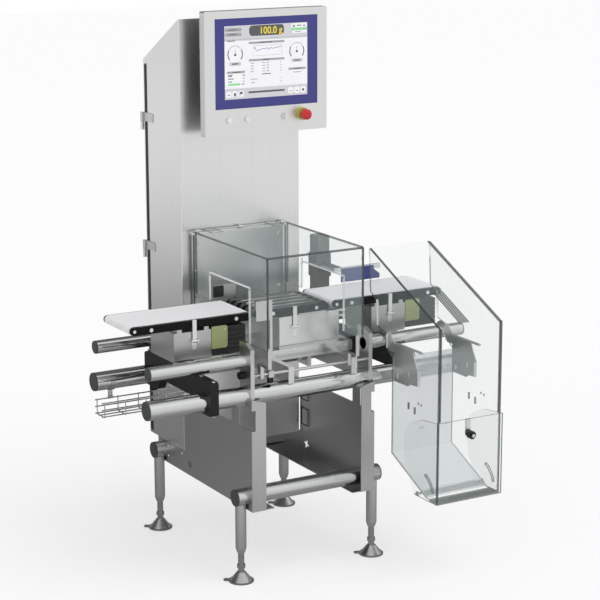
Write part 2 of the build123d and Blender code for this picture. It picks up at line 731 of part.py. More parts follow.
# Rail bolts, roller bolts, latch plates with their pins, and the pivots and screws of the bin
bolt_r = 6.0
bolt_h = 3.0
bolt_in = 69.0
bolt_out = 56.0
plate_half = 8.0
plate_drop = 28.0
ear_t = 3.0
bolts = []
for x in (infeed_x0 + bolt_in, infeed_x0 + belt_len - bolt_out, weigh_x0 + 62, weigh_x0 + 220,
          outfeed_x0 + bolt_in, outfeed_x0 + belt_len - bolt_out):
    bolts.append(bar_y(x, rail_out - bolt_h, rail_out, axis_z - 1, bolt_r))
for x in (infeed_x0, weigh_x0, outfeed_x0):
    bolts.append(bar_y(x + roller_in, rail_out - bolt_h / 2, rail_out, axis_z, bolt_r - 1))
plate_y = housing_y0 - fit_gap
plate_wide = knuckle_half + 3.5
plate_low = latch_z - plate_drop
plate_neck = latch_z - 6
plate_high = latch_z + knuckle_r
for x in latch_spots:
    piece = slab_y([(x - plate_half, plate_low), (x + plate_half, plate_low), (x + plate_half, plate_neck),
                    (x + plate_wide, plate_neck), (x + plate_wide, plate_high), (x - plate_wide, plate_high),
                    (x - plate_wide, plate_neck), (x - plate_half, plate_neck)], plate_y - 1.5, plate_y, r=5,
                   picks=[(x - plate_half, plate_low), (x + plate_half, plate_low)])
    for way in (-1, 1):
        ear_x = x + way * (knuckle_half + 2)
        piece += block(ear_x - ear_t / 2, ear_x + ear_t / 2, latch_y - 4, plate_y, plate_neck, latch_z + 6)
    piece += bar_x(x - knuckle_half - ear_t, x + knuckle_half + ear_t, latch_y, latch_z, latch_pin_r)
    bolts.append(piece)

# Clear hood: folded top-and-front sheet, two side panels with the product tunnel, rear panel
hood_fold_out = 9.0
hood_fold_in = 4.0
side_low = hood_bottom - 13.0
side_top = hood_top - hood_t - fit_gap
side_front = hood_front + hood_t + fit_gap
tunnel_front = 36.0
tunnel_rear = 296.0
tunnel_round = 9.0
side_rear = hood_rear - 3.0
rear_low = belt_top + 1.0
hood = slab_x([(hood_front, hood_bottom), (hood_front, hood_top), (hood_rear, hood_top),
               (hood_rear, hood_top - hood_t), (hood_front + hood_t, hood_top - hood_t),
               (hood_front + hood_t, hood_bottom)], hood_x0, hood_x1, r=hood_fold_in,
              picks=[(hood_front + hood_t, hood_top - hood_t)])
front_fold = hood.edges().filter_by(Axis.X).sort_by_distance((0, hood_front, hood_top))[0]
write("hood_sheet", fillet(front_fold, hood_fold_out))
side_points = [
    (side_front, side_low), (tunnel_front, side_low), (tunnel_front, tunnel_top),
    (tunnel_rear, tunnel_top), (tunnel_rear, rear_low), (side_rear, rear_low),
    (side_rear, side_top), (side_front, side_top),
]
write("hood_sides", *[slab_x(side_points, x0, x0 + hood_t, r=tunnel_round,
                             picks=[(tunnel_front, tunnel_top), (tunnel_rear, tunnel_top),
                                    (side_front, side_top)])
                      for x0 in (hood_x0, hood_x1 - hood_t)])

# Hinge straps screwed to the hood top, curled round the hinge rod
hinge_z = hood_top - 1.0
hinge_rod_r = 3.0
strap_x = (-130.0, 101.0)
strap_half = 20.0
strap_t = 2.3
strap_front = hinge_y - 63.0
curl_r = 6.0
screw_r = 4.0
straps = []
for x in strap_x:
    strap = block(x - strap_half, x + strap_half, strap_front, hinge_y - 4,
                  hood_top + fit_gap, hood_top + fit_gap + strap_t)
    strap += bar_x(x - strap_half, x + strap_half, hinge_y, hinge_z, curl_r)
    strap -= bar_x(x - strap_half - 1, x + strap_half + 1, hinge_y, hinge_z, hinge_rod_r + slide_gap)
    for dx in (-12, 12):
        strap += bar_z(x + dx, strap_front + 17, hood_top + strap_t, hood_top + 2 * strap_t, screw_r)
    straps.append(strap)
write("hood_hinges", *straps)

panel_half = hood_t / 2
panel_low = belt_top - 46.0
write("hood_back_panel", block(hood_x0, hood_x1, hinge_y - panel_half, hinge_y + panel_half,
                               panel_low, hinge_z - 12))

# Steel fittings: hinge rod, its round-nosed holders, and stand-offs for the rear panel
holder_r = 7.0
standoff_r = 7.0
standoff_inset = 18.0
fittings = [bar_x(hood_x0 - 5, hood_x1 + 5, hinge_y, hinge_z, hinge_rod_r)]
for x in (hood_x0 + 15, (hood_x0 + hood_x1) / 2, hood_x1 - 15):
    holder = block(x - holder_r, x + holder_r, hinge_y, col_front - fit_gap,
                   hinge_z - holder_r, hinge_z + holder_r)
    holder += bar_x(x - holder_r, x + holder_r, hinge_y, hinge_z, holder_r)
    fittings.append(holder - bar_x(x - holder_r - 1, x + holder_r + 1, hinge_y, hinge_z,
                                   hinge_rod_r + bore_gap))
for x in (hood_x0 + standoff_inset, hood_x1 - standoff_inset):
    for z in (panel_low + 30, hinge_z - 40):
        fittings.append(bar_y(x, hinge_y + panel_half + fit_gap, col_front - fit_gap, z, standoff_r))

# rest rod between the uprights, with two bent rests for the hood and a clamp collar
rest_w = 12.0
rest_t = 3.0
rest_top = hood_bottom - slide_gap
rest_low = rod_z + 34.0
rest_hook = 10.0
rest_y = hood_front - 1.0
fittings.append(bar_x(-upright_x + fit_gap, upright_x - fit_gap, rod_y, rod_z, rod_r))
rest_points = [
    (rest_y, rest_top), (rest_y + rest_hook, rest_top), (rest_y + rest_hook, rest_low),
    (rod_y + rest_hook, rest_low), (rod_y + rest_hook, rod_z - rest_hook),
    (rod_y - rest_hook, rod_z - rest_hook), (rod_y - rest_hook, rest_low - rest_t),
    (rest_y + rest_hook - rest_t, rest_low - rest_t), (rest_y + rest_hook - rest_t, rest_top - rest_t),
    (rest_y, rest_top - rest_t),
]
for x0 in (hood_x0 + 5, hood_x1 - 24):
    rest = slab_x(rest_points, x0, x0 + rest_w)
    fittings.append(rest - bar_x(x0 - 1, x0 + rest_w + 1, rod_y, rod_z, rod_r + bore_gap))
collar = block(collar_x - collar_half + 1, collar_x + collar_half - 1, rod_y - collar_half,
               rod_y + collar_half, rod_z - collar_half, rod_z + collar_half)
fittings.append(collar - bar_x(collar_x - collar_half, collar_x + collar_half, rod_y, rod_z,
                               rod_r + bore_gap))

# light barrier: a plate on a post in front of the belts, a wider one behind, and both heads
eye_t = 2.0
post_w = 9.0
post_x1 = base_x0 + 10.0
post_x0 = post_x1 - post_w
post_low = base_z0 + 10.0
eye_front = base_y0 - fit_gap
eye_back = base_y1 + fit_gap
eye_head = 20.0
for left, low, high, y0 in ((post_x0 - 49, belt_top - 27, belt_top + 36, eye_front - eye_t),
                            (post_x0 - 76, belt_top + 4, belt_top + 44, eye_back)):
    plate = slab_y([(left, low), (post_x0, low), (post_x0, post_low), (post_x1, post_low),
                    (post_x1, high), (left, high)], y0, y0 + eye_t, r=3, picks=[(left, low), (left, high)])
    if y0 < mid_y:
        for z in (low + 7, high - 6):
            plate += bar_y(left + 16, y0 - eye_t, y0, z, 2.6)
    fittings.append(plate)
eye_x = post_x0 - 32.0
eye_z = belt_top + 19.0
emitter = block(eye_x - 10, eye_x + 10, base_y0, base_y0 + eye_head, eye_z - 15, eye_z + 15)
emitter += bar_y(eye_x, base_y0 + eye_head, base_y0 + eye_head + 2, eye_z + 1, 6)
reflector = block(post_x0 - 73, post_x0 - 38, base_y1 - 6, base_y1, belt_top + 6, belt_top + 42)
write("photo_eyes", emitter, reflector)

# pusher barrels
pusher_z = belt_top + pusher_rise
barrel_half = 12.0
barrel_r = 8.0
barrel_bore = 6.4
barrel_front = rail_back + rail_t + 16.0
body_front = back_y + 3.0
barrels_x = (pusher_x - barrel_half, pusher_x + barrel_half)
for x in barrels_x:
    barrel = bar_y(x, barrel_front, body_front - fit_gap, pusher_z, barrel_r)
    fittings.append(barrel - bar_y(x, barrel_front - 1, body_front + 1, pusher_z, barrel_bore))

# fixed leaves and pins of the cabinet hinges
knuckle_x = col_x0 - 6.0
knuckle_y = col_rear + 6.0
hinge_rows = (520.0, 950.0, 1380.0)
hinge_leaf = 28.0
leaf_t = 2.0
leaf_r = 5.0
pin_r = 2.2
for z in hinge_rows:
    leaf = block(col_x0 - fit_gap - leaf_t, col_x0 - fit_gap, col_rear - 67, knuckle_y - 4,
                 z + 1, z + 2 + hinge_leaf)
    leaf += bar_z(knuckle_x, knuckle_y, z + 1, z + 2 + hinge_leaf, leaf_r)
    fittings.append(leaf + bar_z(knuckle_x, knuckle_y, z - hinge_leaf, z + 1, pin_r))

# bin hangers: one folded plate each side, hooked over the front upper tube, with a rod on top
hanger_plate = 3.0
hook_r = upper_r + 14.0
hang_y = bin_back - 4.4
hang_front = hang_y - 134.0
hang_low = upper_z - 121.0
hang_flange = 8.0
hang_rod_r = 4.0
hang_slot_w = 5.0
hang_slot_h = 16.0
hang_points = [
    (hang_y, upper_z), (hang_y, hang_low), (hang_y - 80, hang_low), (hang_y - 93, hang_low + 9),
    (hang_front, hang_low + 12), (hang_front, hang_low + 65), (hang_front + 21, upper_z - 22),
    (hang_front + 29, upper_z),
]
hang_hook = [
    (hang_y - 6, upper_z - 28), (front_y - 32, upper_z - 28), (front_y - 32, upper_z + 34),
    (hang_y - 6, upper_z),
]
for x, way in ((bin_x0 + bin_t + fit_gap, 1), (bin_x1 - bin_t - fit_gap, -1)):
    x0 = min(x, x + way * hanger_plate)
    x1 = x0 + hanger_plate
    arm = slab_x(hang_points, x0, x1) + slab_x(hang_hook, x0, x1)
    arm += bar_x(x0, x1, front_y, upper_z, hook_r)
    arm -= block(x0 - 1, x1 + 1, front_y - 25, hook_r + 1, upper_z - hook_r - 1, upper_z)
    arm -= bar_x(x0 - 1, x1 + 1, front_y, upper_z, upper_bore)
    for y, z in ((hang_y - 22, hang_low + 12), (hang_y - 85, hang_low + 32)):
        arm -= block(x0 - 1, x1 + 1, y - hang_slot_w / 2, y + hang_slot_w / 2, z, z + hang_slot_h)
    edge = x + way * (hanger_plate + hang_flange)
    arm += block(min(x, edge), max(x, edge), hang_front, hang_front + hanger_plate,
                 hang_low + 14, hang_low + 62)
    arm += bar_y(x + way * 5, hang_front - 22, hang_y - 6, upper_z + 2, hang_rod_r)
    fittings.append(arm)
write("steel_fittings", *fittings)

# Pusher: body clamped to the rear upper tube, sliding sleeves, rods with a cross bar, blade
body_x0 = pusher_x - 24.0
body_x1 = pusher_x + 24.0
body_rear = body_front + 54.0
body_low = pusher_z - 96.0
body_high = pusher_z + 98.0
body_round = 5.0
belly = 4.0
body_neck = 12.0
clamp_half = 27.0
body = block(body_x0, body_x1, body_front, body_rear, body_low, body_high)
body = fillet(body.edges().filter_by(Axis.Z), body_round)
body += block(body_x0 - belly, body_x1 + belly, body_front, body_rear, pusher_z - 42, pusher_z + 38)
body += block(pusher_x - body_neck, pusher_x + body_neck, back_y - 13, back_y + 17,
              upper_z + 10, body_low + 2)
body += block(pusher_x - 26, pusher_x + 26, back_y - clamp_half, back_y + clamp_half,
              upper_z - clamp_half + 1, upper_z + clamp_half + 1)
body -= bar_x(body_x0 - 10, body_x1 + 10, back_y, upper_z, upper_bore)
for x in barrels_x:
    body -= bar_y(x, body_front - 6, body_rear - 4, pusher_z, barrel_bore)
write("pusher_body", body)
sleeve_r = 6.0
sleeve_bore = 4.4
rod_end_r = 4.0
cross_y = barrel_front - 16.0
cross_t = 6.0
sleeves = []
rods = []
for x in barrels_x:
    sleeve = bar_y(x, barrel_front - 1, body_rear - 10, pusher_z, sleeve_r)
    sleeves.append(sleeve - bar_y(x, barrel_front - 2, body_rear - 9, pusher_z, sleeve_bore))
    rods.append(bar_y(x, cross_y + cross_t, body_rear - 14, pusher_z, rod_end_r))
write("pusher_sleeves", *sleeves)
cross_bar = block(pusher_x - 20, pusher_x + 160, cross_y, cross_y + cross_t, pusher_z - 8, pusher_z + 8)
write("pusher_bar", cross_bar + rods[0] + rods[1])
blade_x0 = pusher_x + 5.0
blade_x1 = pusher_x + 155.0
blade_low = pusher_z - 41.0
blade_high = pusher_z - 9.0
blade_t = 4.0
blade = slab_y([(blade_x0, blade_low), (blade_x1, blade_low), (blade_x1, blade_low + 15),
                (blade_x1 - 22, blade_high), (blade_x0, blade_high)], cross_y - blade_t, cross_y - 0.1)
blade += block(blade_x0 + 3, blade_x1 - 23, cross_y - blade_t, cross_y - fit_gap,
               blade_high - 3, blade_high + 13)
write("pusher_blade", blade)

# Reject bin: two clear sides hung from the front upper tube, each with a curved slot for the door
floor_end = bin_front + 63.0
floor_rise = bin_bottom + 93.0
back_high = upper_z - 45.0
tube_notch = bin_back + 36.0
throat_y = 31.0
bin_rear = 84.0
cover_high = upper_z + 286.0
cover_low = upper_z + 101.0
bin_points = [
    (bin_front, bin_bottom), (floor_end, bin_bottom), (bin_back, floor_rise), (bin_back, back_high),
    (tube_notch, back_high + 25), (tube_notch, upper_z + 26), (throat_y, upper_z + 40),
    (throat_y + 7, upper_z + 125), (bin_rear - 9, upper_z + 144), (bin_rear, cover_high),
    (bin_front, cover_low),
]
slot_r = 75.0
slot_half = 4.5
slot_from = 114.0
slot_span = 48.0
pivot_r = 4.0
vent_w = 5.0
vent_h = 22.0
in0 = bin_x0 + bin_t + fit_gap
in1 = bin_x1 - bin_t - fit_gap
sides = []
for x0 in (bin_x0, bin_x1 - bin_t):
    side = slab_x(bin_points, x0, x0 + bin_t)
    for y, z in ((bin_front + 168, bin_door_top + 4), (bin_front + 133, bin_door_top - 4)):
        side -= block(x0 - 1, x0 + bin_t + 1, y, y + vent_w, z, z + vent_h)
    arc = CenterArc((door_axis_y, door_axis_z), slot_r, slot_from, slot_span)
    side -= extrude(plane_x(x0 - 1) * SlotArc(arc, 2 * slot_half), amount=bin_t + 2)
    side -= bar_x(x0 - 1, x0 + bin_t + 1, door_axis_y, door_axis_z, pivot_r + fit_gap)
    sides.append(side)
write("bin_sides", *sides)

cover_t = 4.4
cover_lip = bin_door_top + 2.0
write("bin_cover", slab_x([(bin_rear, cover_high), (bin_front, cover_low), (bin_front, cover_lip),
                           (bin_front + 4, cover_lip), (bin_front + 4, cover_low - 2.6),
                           (bin_rear, cover_high - cover_t)], in0, in1))
back_t = 4.0
write("bin_back", slab_x([(bin_back, back_high), (bin_back, floor_rise), (floor_end, bin_bottom),
                          (floor_end - 1.7, bin_bottom + 3.6), (bin_back - back_t, floor_rise + 2.6),
                          (bin_back - back_t, back_high)], in0, in1))

# Bin door: clear pan outside the bin with two wings on pivots and pins in the curved slots
wing_gap = 0.4
door_face = bin_front - door_wrap
door_low = bin_bottom - 5.0
wing_round = 24.0
wing_points = [
    (door_face, bin_door_top), (bin_front + 90, bin_door_top - 10), (bin_front + 165, bin_door_top - 46),
    (bin_front + 187, bin_door_top - 102), (bin_front + 175, bin_door_top - 182),
    (bin_front + 125, door_low), (door_face, door_low),
]
lock_x = (bin_x0 + bin_x1) / 2 - 2.5
lock_z = bin_door_top - 50.0
lock_r = 8.0
guide_r = 3.5
guide_len = 9.0
door = slab_y([(bin_x0 - bin_t, door_low), (bin_x1 + bin_t, door_low), (bin_x1 + bin_t, bin_door_top),
               (bin_x0 - bin_t, bin_door_top)], door_face, bin_front - wing_gap)
guide_angle = math.radians(slot_from + 2)
guide_y = door_axis_y + slot_r * math.cos(guide_angle)
guide_z = door_axis_z + slot_r * math.sin(guide_angle)
for x0, x1, way in ((bin_x0 - bin_t, bin_x0 - wing_gap, 1), (bin_x1 + wing_gap, bin_x1 + bin_t, -1)):
    wing = slab_x(wing_points, x0, x1, r=wing_round, picks=wing_points[1:6])
    wing -= bar_x(x0 - 1, x1 + 1, door_axis_y, door_axis_z, pivot_r + fit_gap)
    face_x = x1 if way > 0 else x0
    door += wing + bar_x(face_x - way * 2, face_x + way * guide_len, guide_y, guide_z, guide_r)
door += block(bin_x0 - bin_t, bin_x1 + bin_t, door_face, bin_front + 50, door_low, bin_bottom - wing_gap)
door -= bar_y(lock_x, door_face - 10, bin_front + 5, lock_z, lock_r + fit_gap)
write("bin_door", door)

# Cam lock of the door: round body with a coin slot bar and a tongue behind the door
flange_r = 13.0
flange_y = door_face - 15.6
tongue_y = bin_front + 4.4
lock_tip = door_face - lock_reach
lock = bar_y(lock_x, lock_tip, tongue_y + 2.6, lock_z, lock_r)
lock += bar_y(lock_x, flange_y, door_face - fit_gap, lock_z, flange_r)
lock += block(lock_x - flange_r, lock_x + flange_r, flange_y, flange_y + 10, lock_z - 4, lock_z + 4)
lock += block(lock_x - 9, lock_x + 9, tongue_y, tongue_y + 2.6, lock_z - 5, bin_door_top - 2)
write("bin_lock", lock)

# pivots through the wings, and two screws a side for the hangers
pivot_head_r = 8.0
pivot_head_t = 3.0
pivot_len = 16.0
for x0, way in ((bin_x0 - bin_t, -1), (bin_x1 + bin_t, 1)):
    near = x0 + way * fit_gap
    head = bar_x(near, near + way * pivot_head_t, door_axis_y, door_axis_z, pivot_head_r)
    bolts.append(head + bar_x(near - way * pivot_len, near, door_axis_y, door_axis_z, pivot_r))
for x0, way in ((bin_x0, -1), (bin_x1, 1)):
    for y, z in ((bin_front + 109, bin_door_top + 38), (bin_front + 92, bin_door_top + 36)):
        bolts.append(bar_x(x0, x0 + way * 2.5, y, z, screw_r))
write("bolts", *bolts)

# Column cabinet: folded shell with a sloped top, open at the back behind a full-height door
fold_big = 4.0
frame_w = 24.0
top_fall = (col_top - col_back_top) / (col_rear - col_front) * sheet
outer = slab_x([(col_front, ledge_z), (col_rear, ledge_z), (col_rear, col_back_top),
                (col_front, col_top)], col_x0, col_x1)
folds = outer.edges().filter_by(Axis.Z).filter_by_position(Axis.Y, col_front - 0.1, col_front + 0.1)
outer = fillet(folds, fold_big)
hollow = slab_x([(col_front + sheet, ledge_z + sheet), (col_rear - sheet, ledge_z + sheet),
                 (col_rear - sheet, col_back_top - sheet + top_fall),
                 (col_front + sheet, col_top - sheet - top_fall)], col_x0 + sheet, col_x1 - sheet)
door_y0 = col_rear - door_t
shell = outer - hollow
shell -= block(col_x0 - 1, col_x1 + 1, door_y0 - sheet, col_rear + 1, door_z0 - 1, door_z1 + 1)
stop_frame = block(col_x0 + sheet, col_x1 - sheet, door_y0 - 2 * sheet, door_y0 - sheet,
                   door_z0 - 7, door_z1 + 1)
stop_frame -= block(col_x0 + frame_w, col_x1 - frame_w, door_y0 - 3 * sheet, door_y0,
                    door_z0 + frame_w, door_z1 - frame_w)
shell += stop_frame
for x in gland_x:
    shell -= bar_z(x, gland_y, ledge_z - 1, ledge_z + sheet + 1, gland_r - 2)
write("column_shell", shell)

# Cabinet door: pan with its hinge leaves, and the swing handle with its cam
door_gap = 0.5
pan = block(col_x0, col_x1, door_y0, col_rear, door_z0 + door_gap, door_z1 - door_gap)
pan -= block(col_x0 + sheet, col_x1 - sheet, door_y0 - 1, col_rear - sheet,
             door_z0 + door_gap + 2.5, door_z1 - door_gap - 2.5)
for z in hinge_rows:
    leaf = block(knuckle_x, col_x0 + 30, col_rear, col_rear + leaf_t, z - hinge_leaf, z)
    leaf += bar_z(knuckle_x, knuckle_y, z - hinge_leaf, z, leaf_r)
    leaf += block(knuckle_x, knuckle_x + 8, col_rear, knuckle_y, z - hinge_leaf, z)
    pan += leaf - bar_z(knuckle_x, knuckle_y, z - hinge_leaf - 1, z + 1, pin_r + slide_gap)
handle_x = col_x1 - 28.0
handle_z = 950.0
handle_r = 9.0
rosette_r = 12.0
lever_half = 6.0
lever_len = 60.0
cam_len = 24.0
pan -= bar_y(handle_x, col_rear - 5, col_rear + 5, handle_z, handle_r + fit_gap)
write("column_door", pan)
handle = bar_y(handle_x, col_rear - 14, col_rear + 8, handle_z, handle_r)
handle += block(handle_x - lever_half, handle_x + lever_half, col_rear + 4, col_rear + handle_reach,
                handle_z - lever_len, handle_z + handle_r)
handle += bar_y(handle_x, col_rear + fit_gap, col_rear + 4, handle_z, rosette_r)
handle += block(handle_x - 5, handle_x + 5, col_rear - 14, col_rear - 11, handle_z - 8, handle_z + cam_len)
write("door_handle", handle)

# Inside the cabinet: mounting plate on stand-offs, drives, rails and the power supply
unit_y = col_front + 21.0
unit_t = 3.0
unit_x0 = col_x0 + 29.0
unit_x1 = col_x1 - 29.0
unit_z0 = ledge_z + 57.0
unit_z1 = col_back_top - 85.0
unit_stand_r = 8.0
units = [block(unit_x0, unit_x1, unit_y, unit_y + unit_t, unit_z0, unit_z1)]
for x in (unit_x0 + 15, unit_x1 - 15):
    for z in (unit_z0 + 30, unit_z1 - 30):
        units.append(bar_y(x, col_front + sheet + fit_gap, unit_y - fit_gap, z, unit_stand_r))

# each row: height above the plate's foot, row height, then left edge, width and depth of its units
unit_rows = (
    (190.0, 200.0, ((25.0, 230.0, 70.0),)),
    (470.0, 32.0, ((25.0, 340.0, 52.0),)),
    (530.0, 160.0, ((25.0, 150.0, 90.0), (195.0, 60.0, 100.0), (285.0, 80.0, 80.0))),
    (740.0, 40.0, ((25.0, 340.0, 46.0),)),
    (810.0, 220.0, ((25.0, 110.0, 120.0), (155.0, 100.0, 110.0), (275.0, 90.0, 100.0))),
)
for low, height, row in unit_rows:
    for left, width, depth in row:
        units.append(block(unit_x0 + left, unit_x0 + left + width, unit_y + unit_t + fit_gap,
                           unit_y + unit_t + depth, unit_z0 + low, unit_z0 + low + height))
write("control_units", *units)

# Terminal housing: flat box with a deeper middle at the back and two ears on the tilt pin
term_wall = 3.0
corner_r = 5.0
glass_x0 = term_x0 + 37.0
glass_x1 = term_x1 - 35.0
glass_z0 = term_z0 + 85.0
glass_z1 = term_z1 - 24.0
glass_set = 0.2
glass_t = 3.5
deep_x0 = term_x0 + 108.0
deep_x1 = term_x1 - 108.0
deep_z0 = term_z0 + 96.0
deep_z1 = term_z1 - 99.0
deep_y = col_front - 30.0
tilt_y = col_front - 17.0
tilt_z = (deep_z0 + deep_z1) / 2
ear_r = 12.0
tilt_ear_t = 12.0
tilt_pin_r = 4.0
slab_y1 = term_y + term_slab
slab = block(term_x0, term_x1, term_y, slab_y1, term_z0, term_z1)
slab = fillet(slab.edges().filter_by(Axis.Y), corner_r)
slab -= block(term_x0 + term_wall, term_x1 - term_wall, term_y + 2 * term_wall, slab_y1 - term_wall,
              term_z0 + term_wall, term_z1 - term_wall)
slab -= block(glass_x0, glass_x1, term_y - 1, term_y + 4, glass_z0, glass_z1)
rear = block(deep_x0, deep_x1, slab_y1, deep_y, deep_z0, deep_z1)
rear = fillet(rear.edges().filter_by(Axis.Y), corner_r + 1)
rear -= block(deep_x0 + term_wall, deep_x1 - term_wall, slab_y1 - 4, deep_y - term_wall,
              deep_z0 + term_wall, deep_z1 - term_wall)
ear_spots = ((deep_x0 + deep_x1) / 2 - 67, (deep_x0 + deep_x1) / 2 + 55)
for x0 in ear_spots:
    ear = block(x0, x0 + tilt_ear_t, deep_y - 1, tilt_y, tilt_z - ear_r, tilt_z + ear_r)
    rear += ear + bar_x(x0, x0 + tilt_ear_t, tilt_y, tilt_z, ear_r - 3)
rear -= bar_x(ear_spots[0] - 8, ear_spots[1] + tilt_ear_t + 8, tilt_y, tilt_z, tilt_pin_r + bore_gap)
terminal = slab + rear
button_spots = (term_x0 + 86.0, term_x0 + 153.0)
button_z = term_z0 + 50.0
key_x = term_x1 - 159.0
stop_x = term_x1 - 94.0
stop_z = term_z0 + 54.0
bezel_r = 13.0
button_r = 10.0
stop_bore = 8.3
for x in (*button_spots, key_x):
    terminal += bar_y(x, term_y - 1.5, term_y + 6.5, button_z, bezel_r)
    terminal -= bar_y(x, term_y - 3, term_y + 20, button_z, button_r)
terminal -= bar_y(stop_x, term_y - 3, term_y + 20, stop_z, stop_bore)
write("terminal_housing", terminal)
write("display_glass", block(glass_x0 + fit_gap, glass_x1 - fit_gap, term_y + glass_set,
                             term_y + glass_set + glass_t, glass_z0 + fit_gap, glass_z1 - fit_gap))

# Tilt mount on the column front: foot, tongue and a pin through both ears
mount_y = col_front - 8.0
mount_x0 = ear_spots[0] + tilt_ear_t + 2
mount_x1 = ear_spots[1] - 2
tongue_r = 9.0
mount = block(mount_x0, mount_x1, mount_y, col_front - fit_gap, tilt_z - 70, tilt_z + 70)
mount += block(mount_x0 - 1.6, mount_x1 + 1.6, tilt_y, mount_y + 1, tilt_z - tongue_r, tilt_z + tongue_r)
mount += bar_x(mount_x0 - 1.6, mount_x1 + 1.6, tilt_y, tilt_z, tongue_r)
mount += bar_x(ear_spots[0] - 2, ear_spots[1] + tilt_ear_t + 2, tilt_y, tilt_z, tilt_pin_r)
write("terminal_mount", mount)

# Push buttons, key switch, and the mushroom stop button in its collar
button_out = 4.5
button_in = 14.0
for name, x in (("button_left", button_spots[0]), ("button_right", button_spots[1])):
    write(name, bar_y(x, term_y - button_out, term_y + button_in, button_z, button_r - slide_gap))
key_half = 2.0
key_reach = 12.0
key = bar_y(key_x, term_y - 4, term_y + button_in, button_z, button_r - slide_gap)
key += block(key_x - key_half, key_x + key_half, term_y - key_reach, term_y - 3, button_z - 8, button_z + 8)
write("key_switch", key)
collar_r = 20.0
collar_t = 13.0
head_r = 17.0
head_out = 40.0
head_t = 20.0
dome = 4.0
write("stop_collar", turned_y(stop_x, stop_z, [(term_y - collar_t, collar_r), (term_y - fit_gap, collar_r)])
      - bar_y(stop_x, term_y - collar_t - 1, term_y, stop_z, stop_bore))
write("stop_head", turned_y(stop_x, stop_z, [
    (term_y - head_out, head_r - 2 * dome), (term_y - head_out + dome / 4, head_r - dome),
    (term_y - head_out + dome, head_r), (term_y - head_t, head_r), (term_y - head_t, stop_bore - slide_gap),
    (term_y + head_t - dome, stop_bore - slide_gap)]))
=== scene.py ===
import bmesh
import bpy
import math
from mathutils import Matrix, Vector


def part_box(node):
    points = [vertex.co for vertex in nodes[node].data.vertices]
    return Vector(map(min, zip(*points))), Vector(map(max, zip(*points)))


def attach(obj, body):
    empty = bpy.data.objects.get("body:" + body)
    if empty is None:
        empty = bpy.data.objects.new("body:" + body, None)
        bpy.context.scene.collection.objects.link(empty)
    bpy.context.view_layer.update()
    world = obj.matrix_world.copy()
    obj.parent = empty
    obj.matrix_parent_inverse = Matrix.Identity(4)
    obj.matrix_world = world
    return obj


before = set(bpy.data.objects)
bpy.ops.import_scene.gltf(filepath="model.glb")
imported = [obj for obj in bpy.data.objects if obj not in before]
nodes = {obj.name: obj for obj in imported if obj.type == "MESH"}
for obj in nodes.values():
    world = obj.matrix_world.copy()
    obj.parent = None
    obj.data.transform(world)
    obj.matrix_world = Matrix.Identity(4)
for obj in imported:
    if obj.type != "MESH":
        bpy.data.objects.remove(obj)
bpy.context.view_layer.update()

# Side plates: 3 mm stainless sheet, brushed along its length before it is folded, with a
# low rear panel and two cover wells screwed between the plates. They carry all the rest.


def new_material(name, roughness=0.4, metallic=0.0):
    made = bpy.data.materials.new(name)
    made.use_nodes = True
    tree = made.node_tree
    shader = tree.nodes["Principled BSDF"]
    shader.inputs["Roughness"].default_value = roughness
    shader.inputs["Metallic"].default_value = metallic
    return made, tree, shader


def add_node(tree, kind, **settings):
    """A shader node; a setting that starts with in_ is a value for the input of that name."""
    node = tree.nodes.new(kind)
    for key, value in settings.items():
        if key.startswith("in_"):
            node.inputs[key[3:].replace("_", " ")].default_value = value
        else:
            setattr(node, key, value)
    return node


def object_noise(tree, stretch, detail=4.0, rough=0.55):
    """Noise on Object coordinates, in cycles per metre along each axis."""
    coords = add_node(tree, "ShaderNodeTexCoord")
    mapping = add_node(tree, "ShaderNodeMapping", in_Scale=stretch)
    noise = add_node(tree, "ShaderNodeTexNoise", in_Scale=1.0, in_Detail=detail, in_Roughness=rough)
    tree.links.new(coords.outputs["Object"], mapping.inputs["Vector"])
    tree.links.new(mapping.outputs["Vector"], noise.inputs["Vector"])
    return noise.outputs["Fac"]


def between(tree, source, low, high, start=0.3, end=0.7):
    """Maps the part of the source between start and end on to low to high."""
    node = add_node(tree, "ShaderNodeMapRange")
    node.inputs["From Min"].default_value = start
    node.inputs["From Max"].default_value = end
    node.inputs["To Min"].default_value = low
    node.inputs["To Max"].default_value = high
    tree.links.new(source, node.inputs["Value"])
    return node.outputs["Result"]


def joined(tree, operation, sources):
    """The product or the largest of several values, as the operation says."""
    result = sources[0]
    for source in sources[1:]:
        step = add_node(tree, "ShaderNodeMath", operation=operation)
        tree.links.new(result, step.inputs[0])
        tree.links.new(source, step.inputs[1])
        result = step.outputs[0]
    return result


def absolute(tree, source):
    size = add_node(tree, "ShaderNodeMath", operation="ABSOLUTE")
    tree.links.new(source, size.inputs[0])
    return size.outputs[0]


def scaled(tree, source, factor):
    step = add_node(tree, "ShaderNodeMath", operation="MULTIPLY")
    step.inputs[1].default_value = factor
    tree.links.new(source, step.inputs[0])
    return step.outputs[0]


def two_tones(tree, source, low, high, start=0.3, end=0.7):
    ramp = add_node(tree, "ShaderNodeValToRGB")
    ramp.color_ramp.elements[0].position = start
    ramp.color_ramp.elements[1].position = end
    ramp.color_ramp.elements[0].color = (*low, 1.0)
    ramp.color_ramp.elements[1].color = (*high, 1.0)
    tree.links.new(source, ramp.inputs["Fac"])
    return ramp.outputs["Color"]


def raise_grain(tree, shader, source, strength, distance):
    bump = add_node(tree, "ShaderNodeBump", in_Strength=strength, in_Distance=distance)
    tree.links.new(source, bump.inputs["Height"])
    tree.links.new(bump.outputs["Normal"], shader.inputs["Normal"])


